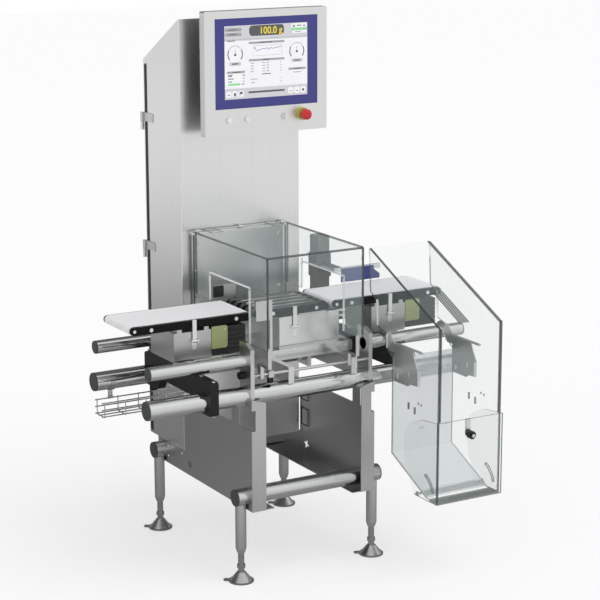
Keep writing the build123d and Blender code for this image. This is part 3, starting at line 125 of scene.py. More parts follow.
def brushed_steel(name, tone, grain, low=0.26, high=0.33, spread=0.018, relief=0.012):
    """Stainless steel whose grain runs along the axis with the small number in grain."""
    made, tree, shader = new_material(name, metallic=1.0)
    streaks = object_noise(tree, grain, detail=5.0)
    patches = object_noise(tree, (3.0, 3.0, 2.0), detail=2.0)
    dark = tuple(c * (1 - spread) for c in tone)
    light = tuple(min(1.0, c * (1 + spread)) for c in tone)
    tree.links.new(two_tones(tree, streaks, dark, light), shader.inputs["Base Color"])
    worn = add_node(tree, "ShaderNodeMix", data_type="FLOAT")
    worn.inputs["Factor"].default_value = 0.5
    tree.links.new(streaks, worn.inputs["A"])
    tree.links.new(patches, worn.inputs["B"])
    tree.links.new(between(tree, worn.outputs["Result"], low, high), shader.inputs["Roughness"])
    raise_grain(tree, shader, streaks, relief, 0.0004)
    return made


def dress(material, *names):
    """Gives CAD nodes a material in every slot."""
    for name in names:
        mesh = nodes[name].data
        mesh.materials.clear()
        mesh.materials.append(material)


def dull(name, colour, scale=300.0, low=0.5, high=0.7):
    """One dark colour with an uneven roughness, for rubber and as painted shade in hollows."""
    made, tree, shader = new_material(name)
    shader.inputs["Base Color"].default_value = (*colour, 1.0)
    grain = object_noise(tree, (scale, scale, scale))
    tree.links.new(between(tree, grain, low, high), shader.inputs["Roughness"])
    return made


plate_steel = brushed_steel("plate_steel", (0.50, 0.505, 0.50), (170.0, 170.0, 5.0),
                            0.3, 0.38, 0.03)
dress(plate_steel, "frame_plates")
well_rubber = dull("well_rubber", (0.015, 0.015, 0.015))
middle_x, middle_y = 9.0, 168.5


def on_machine(x, y, z):
    """Metres in the shared frame, from millimetres off the middle of the front leg line."""
    return (x - middle_x) / 1000, (y - middle_y) / 1000, z / 1000


def new_piece(name, mesh, body):
    piece = bpy.data.objects.new(name, mesh)
    bpy.context.scene.collection.objects.link(piece)
    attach(piece, body)
    return piece


def rod_of(section, first, last):
    """A closed rod between two places on the machine, from its section's outline at each end."""
    count = len(section)
    points = [on_machine(*[a + b for a, b in zip(corner, end)])
              for end in (first, last) for corner in section]
    faces = [tuple(range(count)), tuple(range(2 * count - 1, count - 1, -1))]
    faces += [(i + count, (i + 1) % count + count, (i + 1) % count, i) for i in range(count)]
    return points, faces


def solid_piece(name, rods, material, body):
    """One piece from several rods, with every face turned outwards."""
    points = []
    faces = []
    for rod_points, rod_faces in rods:
        faces += [tuple(i + len(points) for i in face) for face in rod_faces]
        points += rod_points
    mesh = bpy.data.meshes.new(name)
    mesh.from_pydata(points, [], faces)
    shape = bmesh.new()
    shape.from_mesh(mesh)
    bmesh.ops.recalc_face_normals(shape, faces=shape.faces)
    shape.to_mesh(mesh)
    shape.free()
    mesh.materials.append(material)
    return new_piece(name, mesh, body)


well_face, well_wide, well_high = 216.9, 46.0, 60.0
lip, lip_round = 3.5, 0.6
lip_face = well_face - 1.3
profile = [(well_face, -lip), (well_face, 0.0), (lip_face, -lip_round), (lip_face, lip_round - lip)]
across_y = [(x, 0.0, along) for x, along in profile]
across_z = [(x, along, 0.0) for x, along in profile]
seal_rods = []
for y0, z0 in ((362.0, 342.0), (362.0, 430.0)):
    y1, z1 = y0 + well_wide, z0 + well_high
    for z in (z0 + lip, z1):
        seal_rods.append(rod_of(across_y, (0.0, y0, z), (0.0, y1, z)))
    for y in (y0 + lip, y1):
        seal_rods.append(rod_of(across_z, (0.0, y, z0 + lip), (0.0, y, z1 - lip)))
solid_piece("well_seals", seal_rods, well_rubber, "frame")

strip_left, strip_leg, strip_right = 216.3, 217.6, 220.8
strip_front, strip_step, strip_rear = 412.0, 414.0, 418.4
strip_section = [(strip_left, strip_front, 0.0), (strip_right, strip_front, 0.0),
                 (strip_right, strip_rear, 0.0), (strip_leg, strip_rear, 0.0),
                 (strip_leg, strip_step, 0.0), (strip_left, strip_step, 0.0)]
strip_foot, strip_head = (0.0, 0.0, 314.0), (0.0, 0.0, 499.0)
solid_piece("column_strip", [rod_of(strip_section, strip_foot, strip_head)], plate_steel,
            "frame")

# Screws for the whole machine: stainless button heads whose hexagon socket is a dark disc of
# painted shade. Each group is a cloud of points that carries a direction and a size, and one
# tree turns it into heads.


def screw_head_tree():
    tree = bpy.data.node_groups.new("button_heads", "GeometryNodeTree")
    for name, kind in (("Spots", "NodeSocketGeometry"), ("Head height", "NodeSocketFloat"),
                       ("Socket width", "NodeSocketFloat"), ("Steel", "NodeSocketMaterial"),
                       ("Socket", "NodeSocketMaterial")):
        tree.interface.new_socket(name, in_out="INPUT", socket_type=kind)
    tree.interface.new_socket("Heads", in_out="OUTPUT", socket_type="NodeSocketGeometry")
    given = tree.nodes.new("NodeGroupInput")
    rim = add_node(tree, "GeometryNodeMeshCylinder", in_Vertices=20, in_Radius=1.0)
    crown = add_node(tree, "GeometryNodeMeshCone", in_Vertices=20, in_Radius_Bottom=1.0,
                     in_Radius_Top=0.72)
    socket = add_node(tree, "GeometryNodeMeshCylinder", in_Vertices=6, in_Depth=0.02)
    half = scaled(tree, given.outputs["Head height"], 0.5)
    tree.links.new(half, rim.inputs["Depth"])
    tree.links.new(half, crown.inputs["Depth"])
    tree.links.new(given.outputs["Socket width"], socket.inputs["Radius"])
    parts = tree.nodes.new("GeometryNodeJoinGeometry")
    for source, share, inlet in ((rim, 0.25, "Steel"), (crown, 0.5, "Steel"),
                                 (socket, 1.0, "Socket")):
        raised = scaled(tree, given.outputs["Head height"], share)
        place = tree.nodes.new("ShaderNodeCombineXYZ")
        move = tree.nodes.new("GeometryNodeTransform")
        paint = tree.nodes.new("GeometryNodeSetMaterial")
        tree.links.new(raised, place.inputs["Z"])
        tree.links.new(source.outputs["Mesh"], move.inputs["Geometry"])
        tree.links.new(place.outputs[0], move.inputs["Translation"])
        tree.links.new(move.outputs["Geometry"], paint.inputs["Geometry"])
        tree.links.new(given.outputs[inlet], paint.inputs["Material"])
        tree.links.new(paint.outputs["Geometry"], parts.inputs["Geometry"])
    named = "GeometryNodeInputNamedAttribute"
    facing = add_node(tree, named, data_type="FLOAT_VECTOR", in_Name="facing")
    size = add_node(tree, named, data_type="FLOAT", in_Name="size")
    spread = tree.nodes.new("GeometryNodeInstanceOnPoints")
    real = tree.nodes.new("GeometryNodeRealizeInstances")
    out = tree.nodes.new("NodeGroupOutput")
    tree.links.new(given.outputs["Spots"], spread.inputs["Points"])
    tree.links.new(parts.outputs["Geometry"], spread.inputs["Instance"])
    tree.links.new(facing.outputs["Attribute"], spread.inputs["Rotation"])
    tree.links.new(size.outputs["Attribute"], spread.inputs["Scale"])
    tree.links.new(spread.outputs["Instances"], real.inputs["Geometry"])
    tree.links.new(real.outputs["Geometry"], out.inputs["Heads"])
    return tree


def grown(name, spots, attributes, tree, values):
    """The plain mesh that a tree makes of the spots, with the tree's inputs set by name."""
    mesh = bpy.data.meshes.new(name)
    mesh.from_pydata(spots, [], [])
    for label, kind, rows in attributes:
        field = mesh.attributes.new(label, kind, "POINT")
        for item, row in zip(field.data, rows):
            if kind == "FLOAT":
                item.value = row
            else:
                item.vector = row
    seed = bpy.data.objects.new(name + "_spots", mesh)
    bpy.context.scene.collection.objects.link(seed)
    modifier = seed.modifiers.new("grow", "NODES")
    modifier.node_group = tree
    for item in tree.interface.items_tree:
        if item.in_out == "INPUT" and item.name in values:
            modifier[item.identifier] = values[item.name]
    ready = seed.evaluated_get(bpy.context.evaluated_depsgraph_get())
    plain = bpy.data.meshes.new_from_object(ready)
    plain.name = name
    bpy.data.objects.remove(seed)
    return plain


screw_steel = brushed_steel("screw_steel", (0.78, 0.785, 0.78), (90.0, 90.0, 90.0), 0.22, 0.3)
# The socket of each head is a dark hexagon: painted shade for the hollow.
socket_painted_shade = dull("socket_painted_shade", (0.02, 0.02, 0.02))
button_heads = screw_head_tree()
head_height, socket_width = 0.55, 0.45


def fit_screws(name, body, rows):
    """Rows of (x, y, z, way the head faces, head radius), in millimetres. Height and socket
    are shares of the radius."""
    spots = [on_machine(*row[:3]) for row in rows]
    turns = [Vector(row[3]).to_track_quat("Z", "Y").to_euler() for row in rows]
    sizes = [row[4] / 1000 for row in rows]
    attributes = (("facing", "FLOAT_VECTOR", turns), ("size", "FLOAT", sizes))
    mesh = grown(name, spots, attributes, button_heads,
                 {"Head height": head_height, "Socket width": socket_width, "Steel": screw_steel,
                  "Socket": socket_painted_shade})
    return new_piece(name, mesh, body)


left, right, front, rear = (-1, 0, 0), (1, 0, 0), (0, -1, 0), (0, 1, 0)
up, down = (0, 0, 1), (0, 0, -1)
plate_side = 224.0
well_cover = 217.0
plate_rows = []
for way, side in ((left, -plate_side), (right, plate_side)):
    for y, z in ((62.0, 585.0), (541.5, 262.0), (541.5, 298.0), (440.0, 297.0), (600.0, 297.0)):
        plate_rows.append((side, y, z, way, 5.0))
for z in (351.0, 393.0, 439.0, 481.0):
    plate_rows.append((well_cover, 385.0, z, left, 3.0))
fit_screws("plate_screws", "frame", plate_rows)

# Uprights, legs and cross tubes: thick ground plates bored for the tubes, and round bar legs
# welded under the cross tubes, with the light turning marks of ground bar.
upright_steel = brushed_steel("upright_steel", (0.60, 0.605, 0.60), (150.0, 150.0, 6.0), 0.3, 0.4)
dress(upright_steel, "uprights")
ground_steel = brushed_steel("ground_steel", (0.55, 0.555, 0.555), (12.0, 12.0, 260.0), 0.2, 0.26)
dress(ground_steel, "leg_frame")
foot_steel = brushed_steel("foot_steel", (0.42, 0.425, 0.425), (12.0, 12.0, 300.0), 0.24, 0.32)
dress(foot_steel, "foot_front_left", "foot_front_right", "foot_rear_left", "foot_rear_right")

# Tubes along the line: polished round tube, cut square and closed with dark push-in plugs.
# The wire tray for the cables is welded from bright drawn wire.
tube_steel = brushed_steel("tube_steel", (0.58, 0.585, 0.585), (4.0, 90.0, 90.0),
                           0.09, 0.13, 0.015, 0.003)
dress(tube_steel, "lower_tubes", "upper_tubes")
wire_steel = brushed_steel("wire_steel", (0.55, 0.555, 0.555), (120.0, 120.0, 120.0), 0.2, 0.3)
dress(wire_steel, "wire_tray")


def moulded(name, colour, low=0.35, high=0.5, relief=0.05, spread=0.06, scale=260.0, shine=0.5):
    """Moulded plastic, rubber or paint with a fine, even grain."""
    made, tree, shader = new_material(name)
    shader.inputs["Specular IOR Level"].default_value = shine
    grain = object_noise(tree, (scale, scale, scale), detail=3.0)
    patches = object_noise(tree, (14.0, 14.0, 14.0), detail=2.0)
    dark = tuple(c * (1 - spread) for c in colour)
    light = tuple(min(1.0, c * (1 + spread)) for c in colour)
    tree.links.new(two_tones(tree, patches, dark, light), shader.inputs["Base Color"])
    tree.links.new(between(tree, grain, low, high), shader.inputs["Roughness"])
    raise_grain(tree, shader, grain, relief, 0.0003)
    return made


cap_plastic = moulded("cap_plastic", (0.055, 0.057, 0.058), 0.3, 0.42, shine=0.3)
dress(cap_plastic, "end_caps")

# Clamp brackets: black glass-filled nylon, split at the tubes and drawn together by long
# screws whose ends show underneath. The knobs on the clamps are the same nylon.
black_nylon = moulded("black_nylon", (0.012, 0.012, 0.013), 0.34, 0.48, 0.1, shine=0.22)
dress(black_nylon, "clamp_brackets")
clamp_under, clamp_over = 567.0, 675.0
clamp_rows = []
for x in (-351.0, 364.0):
    for y in (-37.0, 44.0, 342.0):
        clamp_rows.append((x, y, clamp_under, down, 5.0))
    for y in (-37.0, 44.0, 342.0, 410.0):
        clamp_rows.append((x, y, clamp_over, up, 6.0))
fit_screws("clamp_screws", "frame", clamp_rows)

# Side rails, beds and belts: black satin rails hold the folded beds, and the belts run on
# them: two white coated fabric belts, and five narrow dark ones on the weigh section.
rail_black = moulded("rail_black", (0.007, 0.007, 0.008), 0.36, 0.46, 0.05, shine=0.1)
dress(rail_black, "side_rails")
bed_steel = brushed_steel("bed_steel", (0.66, 0.665, 0.665), (6.0, 170.0, 170.0))
dress(bed_steel, "belt_beds")


def woven(name, colour, pitch, low, high, relief):
    """Coated belt fabric: a fine plain weave in the surface, with faint marks along the run."""
    made, tree, shader = new_material(name)
    coords = add_node(tree, "ShaderNodeTexCoord")
    threads = []
    for axis in ("X", "Y"):
        wave = add_node(tree, "ShaderNodeTexWave", bands_direction=axis)
        wave.inputs["Scale"].default_value = 0.5 / pitch
        tree.links.new(coords.outputs["Object"], wave.inputs["Vector"])
        threads.append(wave.outputs["Fac"])
    weave = joined(tree, "MULTIPLY", threads)
    marks = object_noise(tree, (2.0, 45.0, 45.0), detail=3.0)
    dark = tuple(c * 0.96 for c in colour)
    tree.links.new(two_tones(tree, marks, dark, colour), shader.inputs["Base Color"])
    tree.links.new(between(tree, marks, low, high), shader.inputs["Roughness"])
    raise_grain(tree, shader, weave, relief, 0.0002)
    return made


dress(woven("belt_white", (0.86, 0.86, 0.875), 0.0012, 0.5, 0.62, 0.15), "conveyor_belts")
dress(woven("belt_dark", (0.052, 0.056, 0.058), 0.0009, 0.32, 0.45, 0.2), "weigh_strands")

# Rollers: turned steel on the conveyors, black flanged pulleys on the weigh section.
roller_steel = brushed_steel("roller_steel", (0.62, 0.625, 0.625), (40.0, 6.0, 40.0), 0.2, 0.3)
dress(roller_steel, "roller_infeed_start", "roller_infeed_end", "roller_outfeed_start",
      "roller_outfeed_end")
pulley_black = moulded("pulley_black", (0.012, 0.012, 0.013), 0.3, 0.42, shine=0.3)
dress(pulley_black, "roller_weigh_start", "roller_weigh_end")

# Conveyor housings, drive motors and their olive covers: folded housings on two posts, cast
# motors with ribs, and moulded covers held by two screws each.
housing_steel = brushed_steel("housing_steel", (0.50, 0.505, 0.50), (6.0, 150.0, 150.0), 0.28, 0.34)
dress(housing_steel, "conveyor_housings")
motor_paint = moulded("motor_paint", (0.028, 0.029, 0.030), 0.42, 0.55, 0.12, 0.1, 400.0, 0.25)
dress(motor_paint, "drive_motors")
olive_plastic = moulded("olive_plastic", (0.33, 0.375, 0.165), 0.36, 0.48, 0.04, 0.04)
dress(olive_plastic, "motor_covers")
housing_back, cover_face = 250.0, 85.0
housing_rows = []
for x0 in (-421.0, 294.0):
    for x in (x0 + 8.0, x0 + 121.0):
        for z in (728.0, 798.0):
            housing_rows.append((x, housing_back, z, rear, 3.0))
    for z in (746.0, 802.0):
        housing_rows.append((x0 + 176.0, cover_face, z, front, 2.6))
fit_screws("housing_screws", "frame", housing_rows)

# Weigh base, load cell, carrier and weigh housing: the pan is folded from 3 mm sheet, the
# cell is machined from one bar, and the thin housing keeps dust off both.
base_steel = brushed_steel("base_steel", (0.66, 0.67, 0.665), (5.0, 140.0, 140.0),
                           0.22, 0.3, 0.012, 0.006)
dress(base_steel, "weigh_base", "weigh_housing", "weigh_carrier")
cell_alloy = brushed_steel("cell_alloy", (0.74, 0.745, 0.75), (200.0, 200.0, 12.0), 0.3, 0.4)
dress(cell_alloy, "load_cell")
pan_screw_z, carrier_top = 699.0, 768.0
base_rows = [(x, y, pan_screw_z, way, 3.4)
             for y, way in ((62.0, front), (300.0, rear)) for x in (-72.0, 76.0, 182.0)]
base_rows += [(x, y, carrier_top, up, 4.0) for x in (-8.0, 98.0) for y in (168.0, 200.0)]
fit_screws("base_screws", "frame", base_rows)

# Latches and fixings: bent spring strip that hooks over the rails, its hinge plates, the
# rail bolts, and the rods, straps and hangers that are all bright stainless.
strip_steel = brushed_steel("strip_steel", (0.78, 0.785, 0.78), (60.0, 60.0, 60.0), 0.28, 0.38)
dress(strip_steel, "latch_infeed", "latch_weigh", "latch_outfeed", "bolts")
dress(upright_steel, "steel_fittings", "terminal_mount")

# Clear hood: 5 mm clear sheet, folded warm, glued to its two side panels. Its sawn edges
# carry painted light: a painted shade where they look into the sheet and a painted highlight
# where they gather the light.


def band_near(tree, places, axis, place, width, along=None):
    """1 within a width of the place on an axis, and only between two places along another."""
    gap = add_node(tree, "ShaderNodeMath", operation="SUBTRACT")
    gap.inputs[1].default_value = place
    tree.links.new(places.outputs[axis], gap.inputs[0])
    masks = [between(tree, absolute(tree, gap.outputs[0]), 1.0, 0.0, width * 0.8, width)]
    if along:
        other, low, high = along
        masks.append(between(tree, places.outputs[other], 0.0, 1.0, low - 0.001, low))
        masks.append(between(tree, places.outputs[other], 1.0, 0.0, high, high + 0.001))
    return joined(tree, "MULTIPLY", masks)


def clear_sheet(name, across, bright_edges=None, dark=(), bright=(), fold=0.5, cover=0.05):
    """Clear sheet that faces along the axes in across; its other faces are the sawn edges, with
    painted light on them: bright_edges picks the edges that get a painted highlight, and the rest
    get a painted shade. dark and bright list bands of the faces, painted the same way, where the
    edge behind them shows, and fold makes bends an edge."""
    made, tree, shader = new_material(name, 0.05)
    coords = add_node(tree, "ShaderNodeTexCoord")
    faces = add_node(tree, "ShaderNodeSeparateXYZ")
    places = add_node(tree, "ShaderNodeSeparateXYZ")
    tree.links.new(coords.outputs["Normal"], faces.inputs[0])
    tree.links.new(coords.outputs["Object"], places.inputs[0])
    facing = joined(tree, "MAXIMUM", [absolute(tree, faces.outputs[axis]) for axis in across])
    flat = between(tree, facing, 0.0, 1.0, fold, fold + 0.05)
    dark_bands = [band_near(tree, places, *row) for row in dark]
    bright_bands = [band_near(tree, places, *row) for row in bright]
    bands = dark_bands + bright_bands
    if bands:
        outside = between(tree, joined(tree, "MAXIMUM", bands), 1.0, 0.0, 0.0, 1.0)
        flat = joined(tree, "MULTIPLY", [flat, outside])
    # Edge colour is painted light: dark for a painted shade, pale for a painted highlight.
    painted_edge = add_node(tree, "ShaderNodeMix", data_type="RGBA", in_Factor=0.0)
    painted_edge.inputs["A"].default_value = (0.05, 0.06, 0.06, 1.0)
    painted_edge.inputs["B"].default_value = (0.95, 0.97, 0.97, 1.0)
    lit = bright_bands + ([bright_edges(tree, faces, places)] if bright_edges else [])
    if lit:
        tree.links.new(joined(tree, "MAXIMUM", lit), painted_edge.inputs["Factor"])
    tint = add_node(tree, "ShaderNodeMix", data_type="RGBA")
    tint.inputs["B"].default_value = (0.72, 0.84, 0.825, 1.0)
    tree.links.new(flat, tint.inputs["Factor"])
    tree.links.new(painted_edge.outputs["Result"], tint.inputs["A"])
    tree.links.new(tint.outputs["Result"], shader.inputs["Base Color"])
    sheen = add_node(tree, "ShaderNodeLayerWeight", in_Blend=0.2)
    smears = object_noise(tree, (9.0, 9.0, 9.0), detail=3.0)
    tree.links.new(between(tree, smears, 0.03, 0.08), shader.inputs["Roughness"])
    choose = add_node(tree, "ShaderNodeMapRange")
    choose.inputs["To Min"].default_value = 0.8
    tree.links.new(flat, choose.inputs["Value"])
    # The sheet grows less clear towards a grazing view: a painted reflection.
    grazing_reflection = between(tree, sheen.outputs["Facing"], cover, cover + 0.13, 0.0, 1.0)
    tree.links.new(grazing_reflection, choose.inputs["To Max"])
    tree.links.new(choose.outputs["Result"], shader.inputs["Alpha"])
    return made


def tunnel_highlights(tree, faces, places):
    """The edges with a painted highlight: the front post's inner edge and all edges that face down.
    """
    inner = between(tree, faces.outputs["Y"], 0.0, 1.0, 0.4, 0.5)
    ahead = between(tree, places.outputs["Y"], 1.0, 0.0, -0.05, 0.0)
    under = between(tree, faces.outputs["Z"], 1.0, 0.0, -0.6, -0.5)
    return joined(tree, "MAXIMUM", [joined(tree, "MULTIPLY", [inner, ahead]), under])


def rear_highlights(tree, faces, places):
    """Edges with a painted highlight: those that face the rear, level or sloping."""
    return between(tree, faces.outputs["Y"], 0.0, 1.0, 0.25, 0.35)


hood_low, hood_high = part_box("hood_sheet")
glue = 0.0055
hood_ends = [("X", hood_low.x, glue), ("X", hood_high.x, glue)]
dress(clear_sheet("hood_clear", "YZ", dark=hood_ends, fold=0.93), "hood_sheet")
side_low, side_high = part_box("hood_sides")
belt_z, tunnel_top = 0.846, 0.934
tunnel_front, tunnel_rear = on_machine(0.0, 36.0, 0.0)[1], on_machine(0.0, 296.0, 0.0)[1]
# Bright lines of painted highlight on the side panels, where the tunnel edges behind them show.
lit_line, half_line, corner = 0.0024, 0.002, 0.004
tunnel_lines = [
    ("Z", tunnel_top + half_line, lit_line, ("Y", tunnel_front - corner, tunnel_rear + corner)),
    ("Y", tunnel_front - half_line, lit_line, ("Z", side_low.z, tunnel_top + corner)),
    ("Y", tunnel_rear + half_line, lit_line, ("Z", belt_z, tunnel_top + corner)),
]
dress(clear_sheet("hood_side_clear", "X", tunnel_highlights, [("Y", side_high.y, glue)], tunnel_lines),
      "hood_sides")
panel_clear = clear_sheet("panel_clear", "YZ", dark=hood_ends)
dress(panel_clear, "hood_back_panel", "hood_hinges")
hood_rows = []
hood_left, hood_right = -187.0, 158.0
for x, way in ((hood_right, right), (hood_left, left)):
    for y, z in ((392.0, 924.0), (302.0, 942.0), (-70.0, 900.0), (-70.0, 1010.0)):
        hood_rows.append((x, y, z, way, 3.2))
fit_screws("hood_screws", "hood", hood_rows)

# Light barrier: black moulded heads on bent steel brackets, one each side of the belts.
eye_plastic = moulded("eye_plastic", (0.02, 0.02, 0.021), 0.25, 0.38, shine=0.4)
dress(eye_plastic, "photo_eyes")

# Pusher: painted cast body clamped to the rear tube, steel rods in two sleeves, and a blue
# moulded blade that pushes the rejected packs into the bin.
pusher_paint = moulded("pusher_paint", (0.10, 0.102, 0.105), 0.4, 0.52, 0.12, 0.08, 400.0)
dress(pusher_paint, "pusher_body")
rod_steel = brushed_steel("rod_steel", (0.72, 0.725, 0.725), (120.0, 8.0, 120.0), 0.14, 0.22)
dress(rod_steel, "pusher_sleeves", "pusher_bar")
blade_blue = moulded("blade_blue", (0.028, 0.04, 0.20), 0.3, 0.4)
dress(blade_blue, "pusher_blade")
pusher_rows = [(x, y, z, way, 3.2) for x in (272.0, 312.0) for z in (804.0, 982.0)
               for y, way in ((386.0, front), (440.0, rear))]
blade_face, blade_middle = 296.0, 892.0
blade_rows = [(x, blade_face, blade_middle, front, 3.6) for x in (312.0, 372.0, 432.0)]
fit_screws("pusher_screws", "frame", pusher_rows)
fit_screws("blade_screws", "pusher_head", blade_rows)

# Reject bin: clear sides, cover and tilting door of 5 mm sheet, with a hazy grey back. The
# cover has five narrow slots near its middle, drawn as dark bars of painted shade, and a steel
# strip holds the foot of the back.
bin_low, bin_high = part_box("bin_sides")
# Bright lines of painted highlight on the bin sides, where the edges behind them show.
rear_lines = []
for y, width, from_top, to_top in ((84.0, 3.5, 142.0, 0.0), (35.0, 4.5, 246.0, 161.0),
                                   (-26.0, 2.4, 306.0, 260.0)):
    stretch = ("Z", bin_high.z - from_top / 1000, bin_high.z - to_top / 1000)
    rear_lines.append(("Y", on_machine(0.0, y, 0.0)[1], width / 1000, stretch))
dress(clear_sheet("bin_side_clear", "X", rear_highlights, [("Y", bin_low.y, glue)], rear_lines),
      "bin_sides")
cover_low, cover_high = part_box("bin_cover")
dress(clear_sheet("cover_clear", "YZ", dark=[("X", cover_low.x, glue), ("X", cover_high.x, glue)]),
      "bin_cover")
door_low, door_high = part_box("bin_door")
door_glue = 0.0045
front_part = ("Y", door_low.y - 0.001, door_low.y + door_glue)
door_ends = [("X", x, door_glue, front_part) for x in (door_low.x, door_high.x)]
dress(clear_sheet("door_clear", "XY", dark=door_ends), "bin_door")
back_grey, tree, shader = new_material("back_grey", 0.3)
milk = object_noise(tree, (6.0, 6.0, 6.0), detail=2.0)
milky = two_tones(tree, milk, (0.72, 0.75, 0.765), (0.74, 0.77, 0.785))
tree.links.new(milky, shader.inputs["Base Color"])
tree.links.new(between(tree, milk, 0.3, 0.4), shader.inputs["Roughness"])
shader.inputs["Alpha"].default_value = 0.42
dress(back_grey, "bin_back")

lock_look, tree, shader = new_material("lock_look", 0.3)
coords = add_node(tree, "ShaderNodeTexCoord")
lock_x, _, lock_z = on_machine(396.0, 0.0, 472.0)
aside = add_node(tree, "ShaderNodeVectorMath", operation="MULTIPLY_ADD")
aside.inputs[1].default_value = (1.0, 0.0, 1.0)
aside.inputs[2].default_value = (-lock_x, 0.0, -lock_z)
tree.links.new(coords.outputs["Object"], aside.inputs[0])
from_axis = add_node(tree, "ShaderNodeVectorMath", operation="LENGTH")
tree.links.new(aside.outputs[0], from_axis.inputs[0])
core = between(tree, from_axis.outputs["Value"], 1.0, 0.0, 0.0052, 0.0056)
height = add_node(tree, "ShaderNodeSeparateXYZ")
tree.links.new(aside.outputs[0], height.inputs[0])
tongue = between(tree, height.outputs["Z"], 0.0, 1.0, 0.0135, 0.014)
bare = joined(tree, "MAXIMUM", [core, tongue])
lock_tones = two_tones(tree, bare, (0.012, 0.012, 0.013), (0.68, 0.685, 0.68))
tree.links.new(lock_tones, shader.inputs["Base Color"])
tree.links.new(bare, shader.inputs["Metallic"])
dress(lock_look, "bin_lock")


def bar_row_tree():
    tree = bpy.data.node_groups.new("bar_row", "GeometryNodeTree")
    for name, kind in (("Start", "NodeSocketGeometry"), ("Count", "NodeSocketInt"),
                       ("Step", "NodeSocketVector"), ("Bar size", "NodeSocketVector"),
                       ("Tilt", "NodeSocketVector"), ("Finish", "NodeSocketMaterial")):
        tree.interface.new_socket(name, in_out="INPUT", socket_type=kind)
    tree.interface.new_socket("Bars", in_out="OUTPUT", socket_type="NodeSocketGeometry")
    given = tree.nodes.new("NodeGroupInput")
    row = tree.nodes.new("GeometryNodeMeshLine")
    bar = tree.nodes.new("GeometryNodeMeshCube")
    lay = tree.nodes.new("GeometryNodeInstanceOnPoints")
    rows = tree.nodes.new("GeometryNodeInstanceOnPoints")
    real = tree.nodes.new("GeometryNodeRealizeInstances")
    paint = tree.nodes.new("GeometryNodeSetMaterial")
    out = tree.nodes.new("NodeGroupOutput")
    tree.links.new(given.outputs["Count"], row.inputs["Count"])
    tree.links.new(given.outputs["Step"], row.inputs["Offset"])
    tree.links.new(given.outputs["Bar size"], bar.inputs["Size"])
    tree.links.new(row.outputs["Mesh"], lay.inputs["Points"])
    tree.links.new(bar.outputs["Mesh"], lay.inputs["Instance"])
    tree.links.new(given.outputs["Tilt"], lay.inputs["Rotation"])
    tree.links.new(given.outputs["Start"], rows.inputs["Points"])
    tree.links.new(lay.outputs["Instances"], rows.inputs["Instance"])
    tree.links.new(rows.outputs["Instances"], real.inputs["Geometry"])
    tree.links.new(real.outputs["Geometry"], paint.inputs["Geometry"])
    tree.links.new(given.outputs["Finish"], paint.inputs["Material"])
    tree.links.new(paint.outputs["Geometry"], out.inputs["Bars"])
    return tree


bar_row = bar_row_tree()
cover_slope = math.atan2(185.0, 409.0)
# The slots are thin dark bars in the cover: painted shade for the openings.
slot_painted_shade = dull("slot_painted_shade", (0.015, 0.017, 0.017), 200.0, 0.4, 0.6)
slot_count, slot_step = 5, 0.008
slot_size = (0.0014, 0.165, 0.0042)
slot_start = on_machine(371.0, -228.0, 860.3)
slot_mesh = grown("cover_slots", [slot_start], (), bar_row,
                  {"Count": slot_count, "Step": (slot_step, 0.0, 0.0), "Bar size": slot_size,
                   "Tilt": (cover_slope, 0.0, 0.0), "Finish": slot_painted_shade})
new_piece("cover_slots", slot_mesh, "frame")

back_slope = math.atan2(93.0, 202.0)
strip_start, strip_width, strip_base, strip_thick = 2.0, 26.0, 0.2, 1.5
strip_over = strip_base + strip_thick
strip_y, strip_z = -259.0, 265.4
strip_outline = ((strip_start, strip_base), (strip_start, strip_over),
                 (strip_width - 2.0, strip_over), (strip_width, strip_over + 3.0),
                 (strip_width + 1.5, strip_over + 2.0), (strip_width, strip_base))
strip_mesh = bpy.data.meshes.new("floor_strip")
corners = []
for x in (287.0, 510.0):
    for along, lift in strip_outline:
        y = strip_y + along * math.cos(back_slope) - lift * math.sin(back_slope)
        z = strip_z + along * math.sin(back_slope) + lift * math.cos(back_slope)
        corners.append(on_machine(x, y, z))
around = [(i, (i + 1) % 6, (i + 1) % 6 + 6, i + 6) for i in range(6)]
strip_mesh.from_pydata(corners, [], [(5, 4, 3, 2, 1, 0), (6, 7, 8, 9, 10, 11), *around])
strip_mesh.materials.append(strip_steel)
new_piece("floor_strip", strip_mesh, "frame")
slope_up = (0.0, -math.sin(back_slope), math.cos(back_slope))
bin_rows = [(x, -248.6, 272.2, slope_up, 4.0) for x in (304.0, 398.5, 493.0)]
bin_rows += [(x, -64.0, z, front, 3.5) for x in (388.0, 398.0, 490.0) for z in (424.0, 620.0)]
fit_screws("bin_screws", "frame", bin_rows)

# Column cabinet: 2 mm sheet brushed upright, with a rear door on three hinges and a swing
# handle. Inside, grey units stand in rows on a mounting plate.
column_steel = brushed_steel("column_steel", (0.73, 0.735, 0.73), (130.0, 130.0, 2.5), 0.27)
dress(column_steel, "column_shell", "column_door")
dress(pulley_black, "door_handle")
unit_grey = moulded("unit_grey", (0.24, 0.25, 0.26))
dress(unit_grey, "control_units")
hinge_heights = (520.0, 950.0, 1380.0)
door_rows = [(x, 679.0, z - 14.0, rear, 3.0) for z in hinge_heights for x in (-212.0, -200.0)]
leaf_rows = [(-226.3, y, z + 16.0, left, 3.0) for z in hinge_heights for y in (620.0, 650.0)]
edge_in, edge_out = -224.05, -224.6
edge_section = [(edge_in, 653.5, 0.0), (edge_out, 654.5, 0.0), (edge_out, 670.5, 0.0),
                (edge_in, 671.5, 0.0)]
solid_piece("door_edge", [rod_of(edge_section, (0.0, 0.0, 323.0), (0.0, 0.0, 1569.0))],
            well_rubber, "column_door")
fit_screws("door_screws", "column_door", door_rows)
fit_screws("hinge_screws", "frame", leaf_rows)

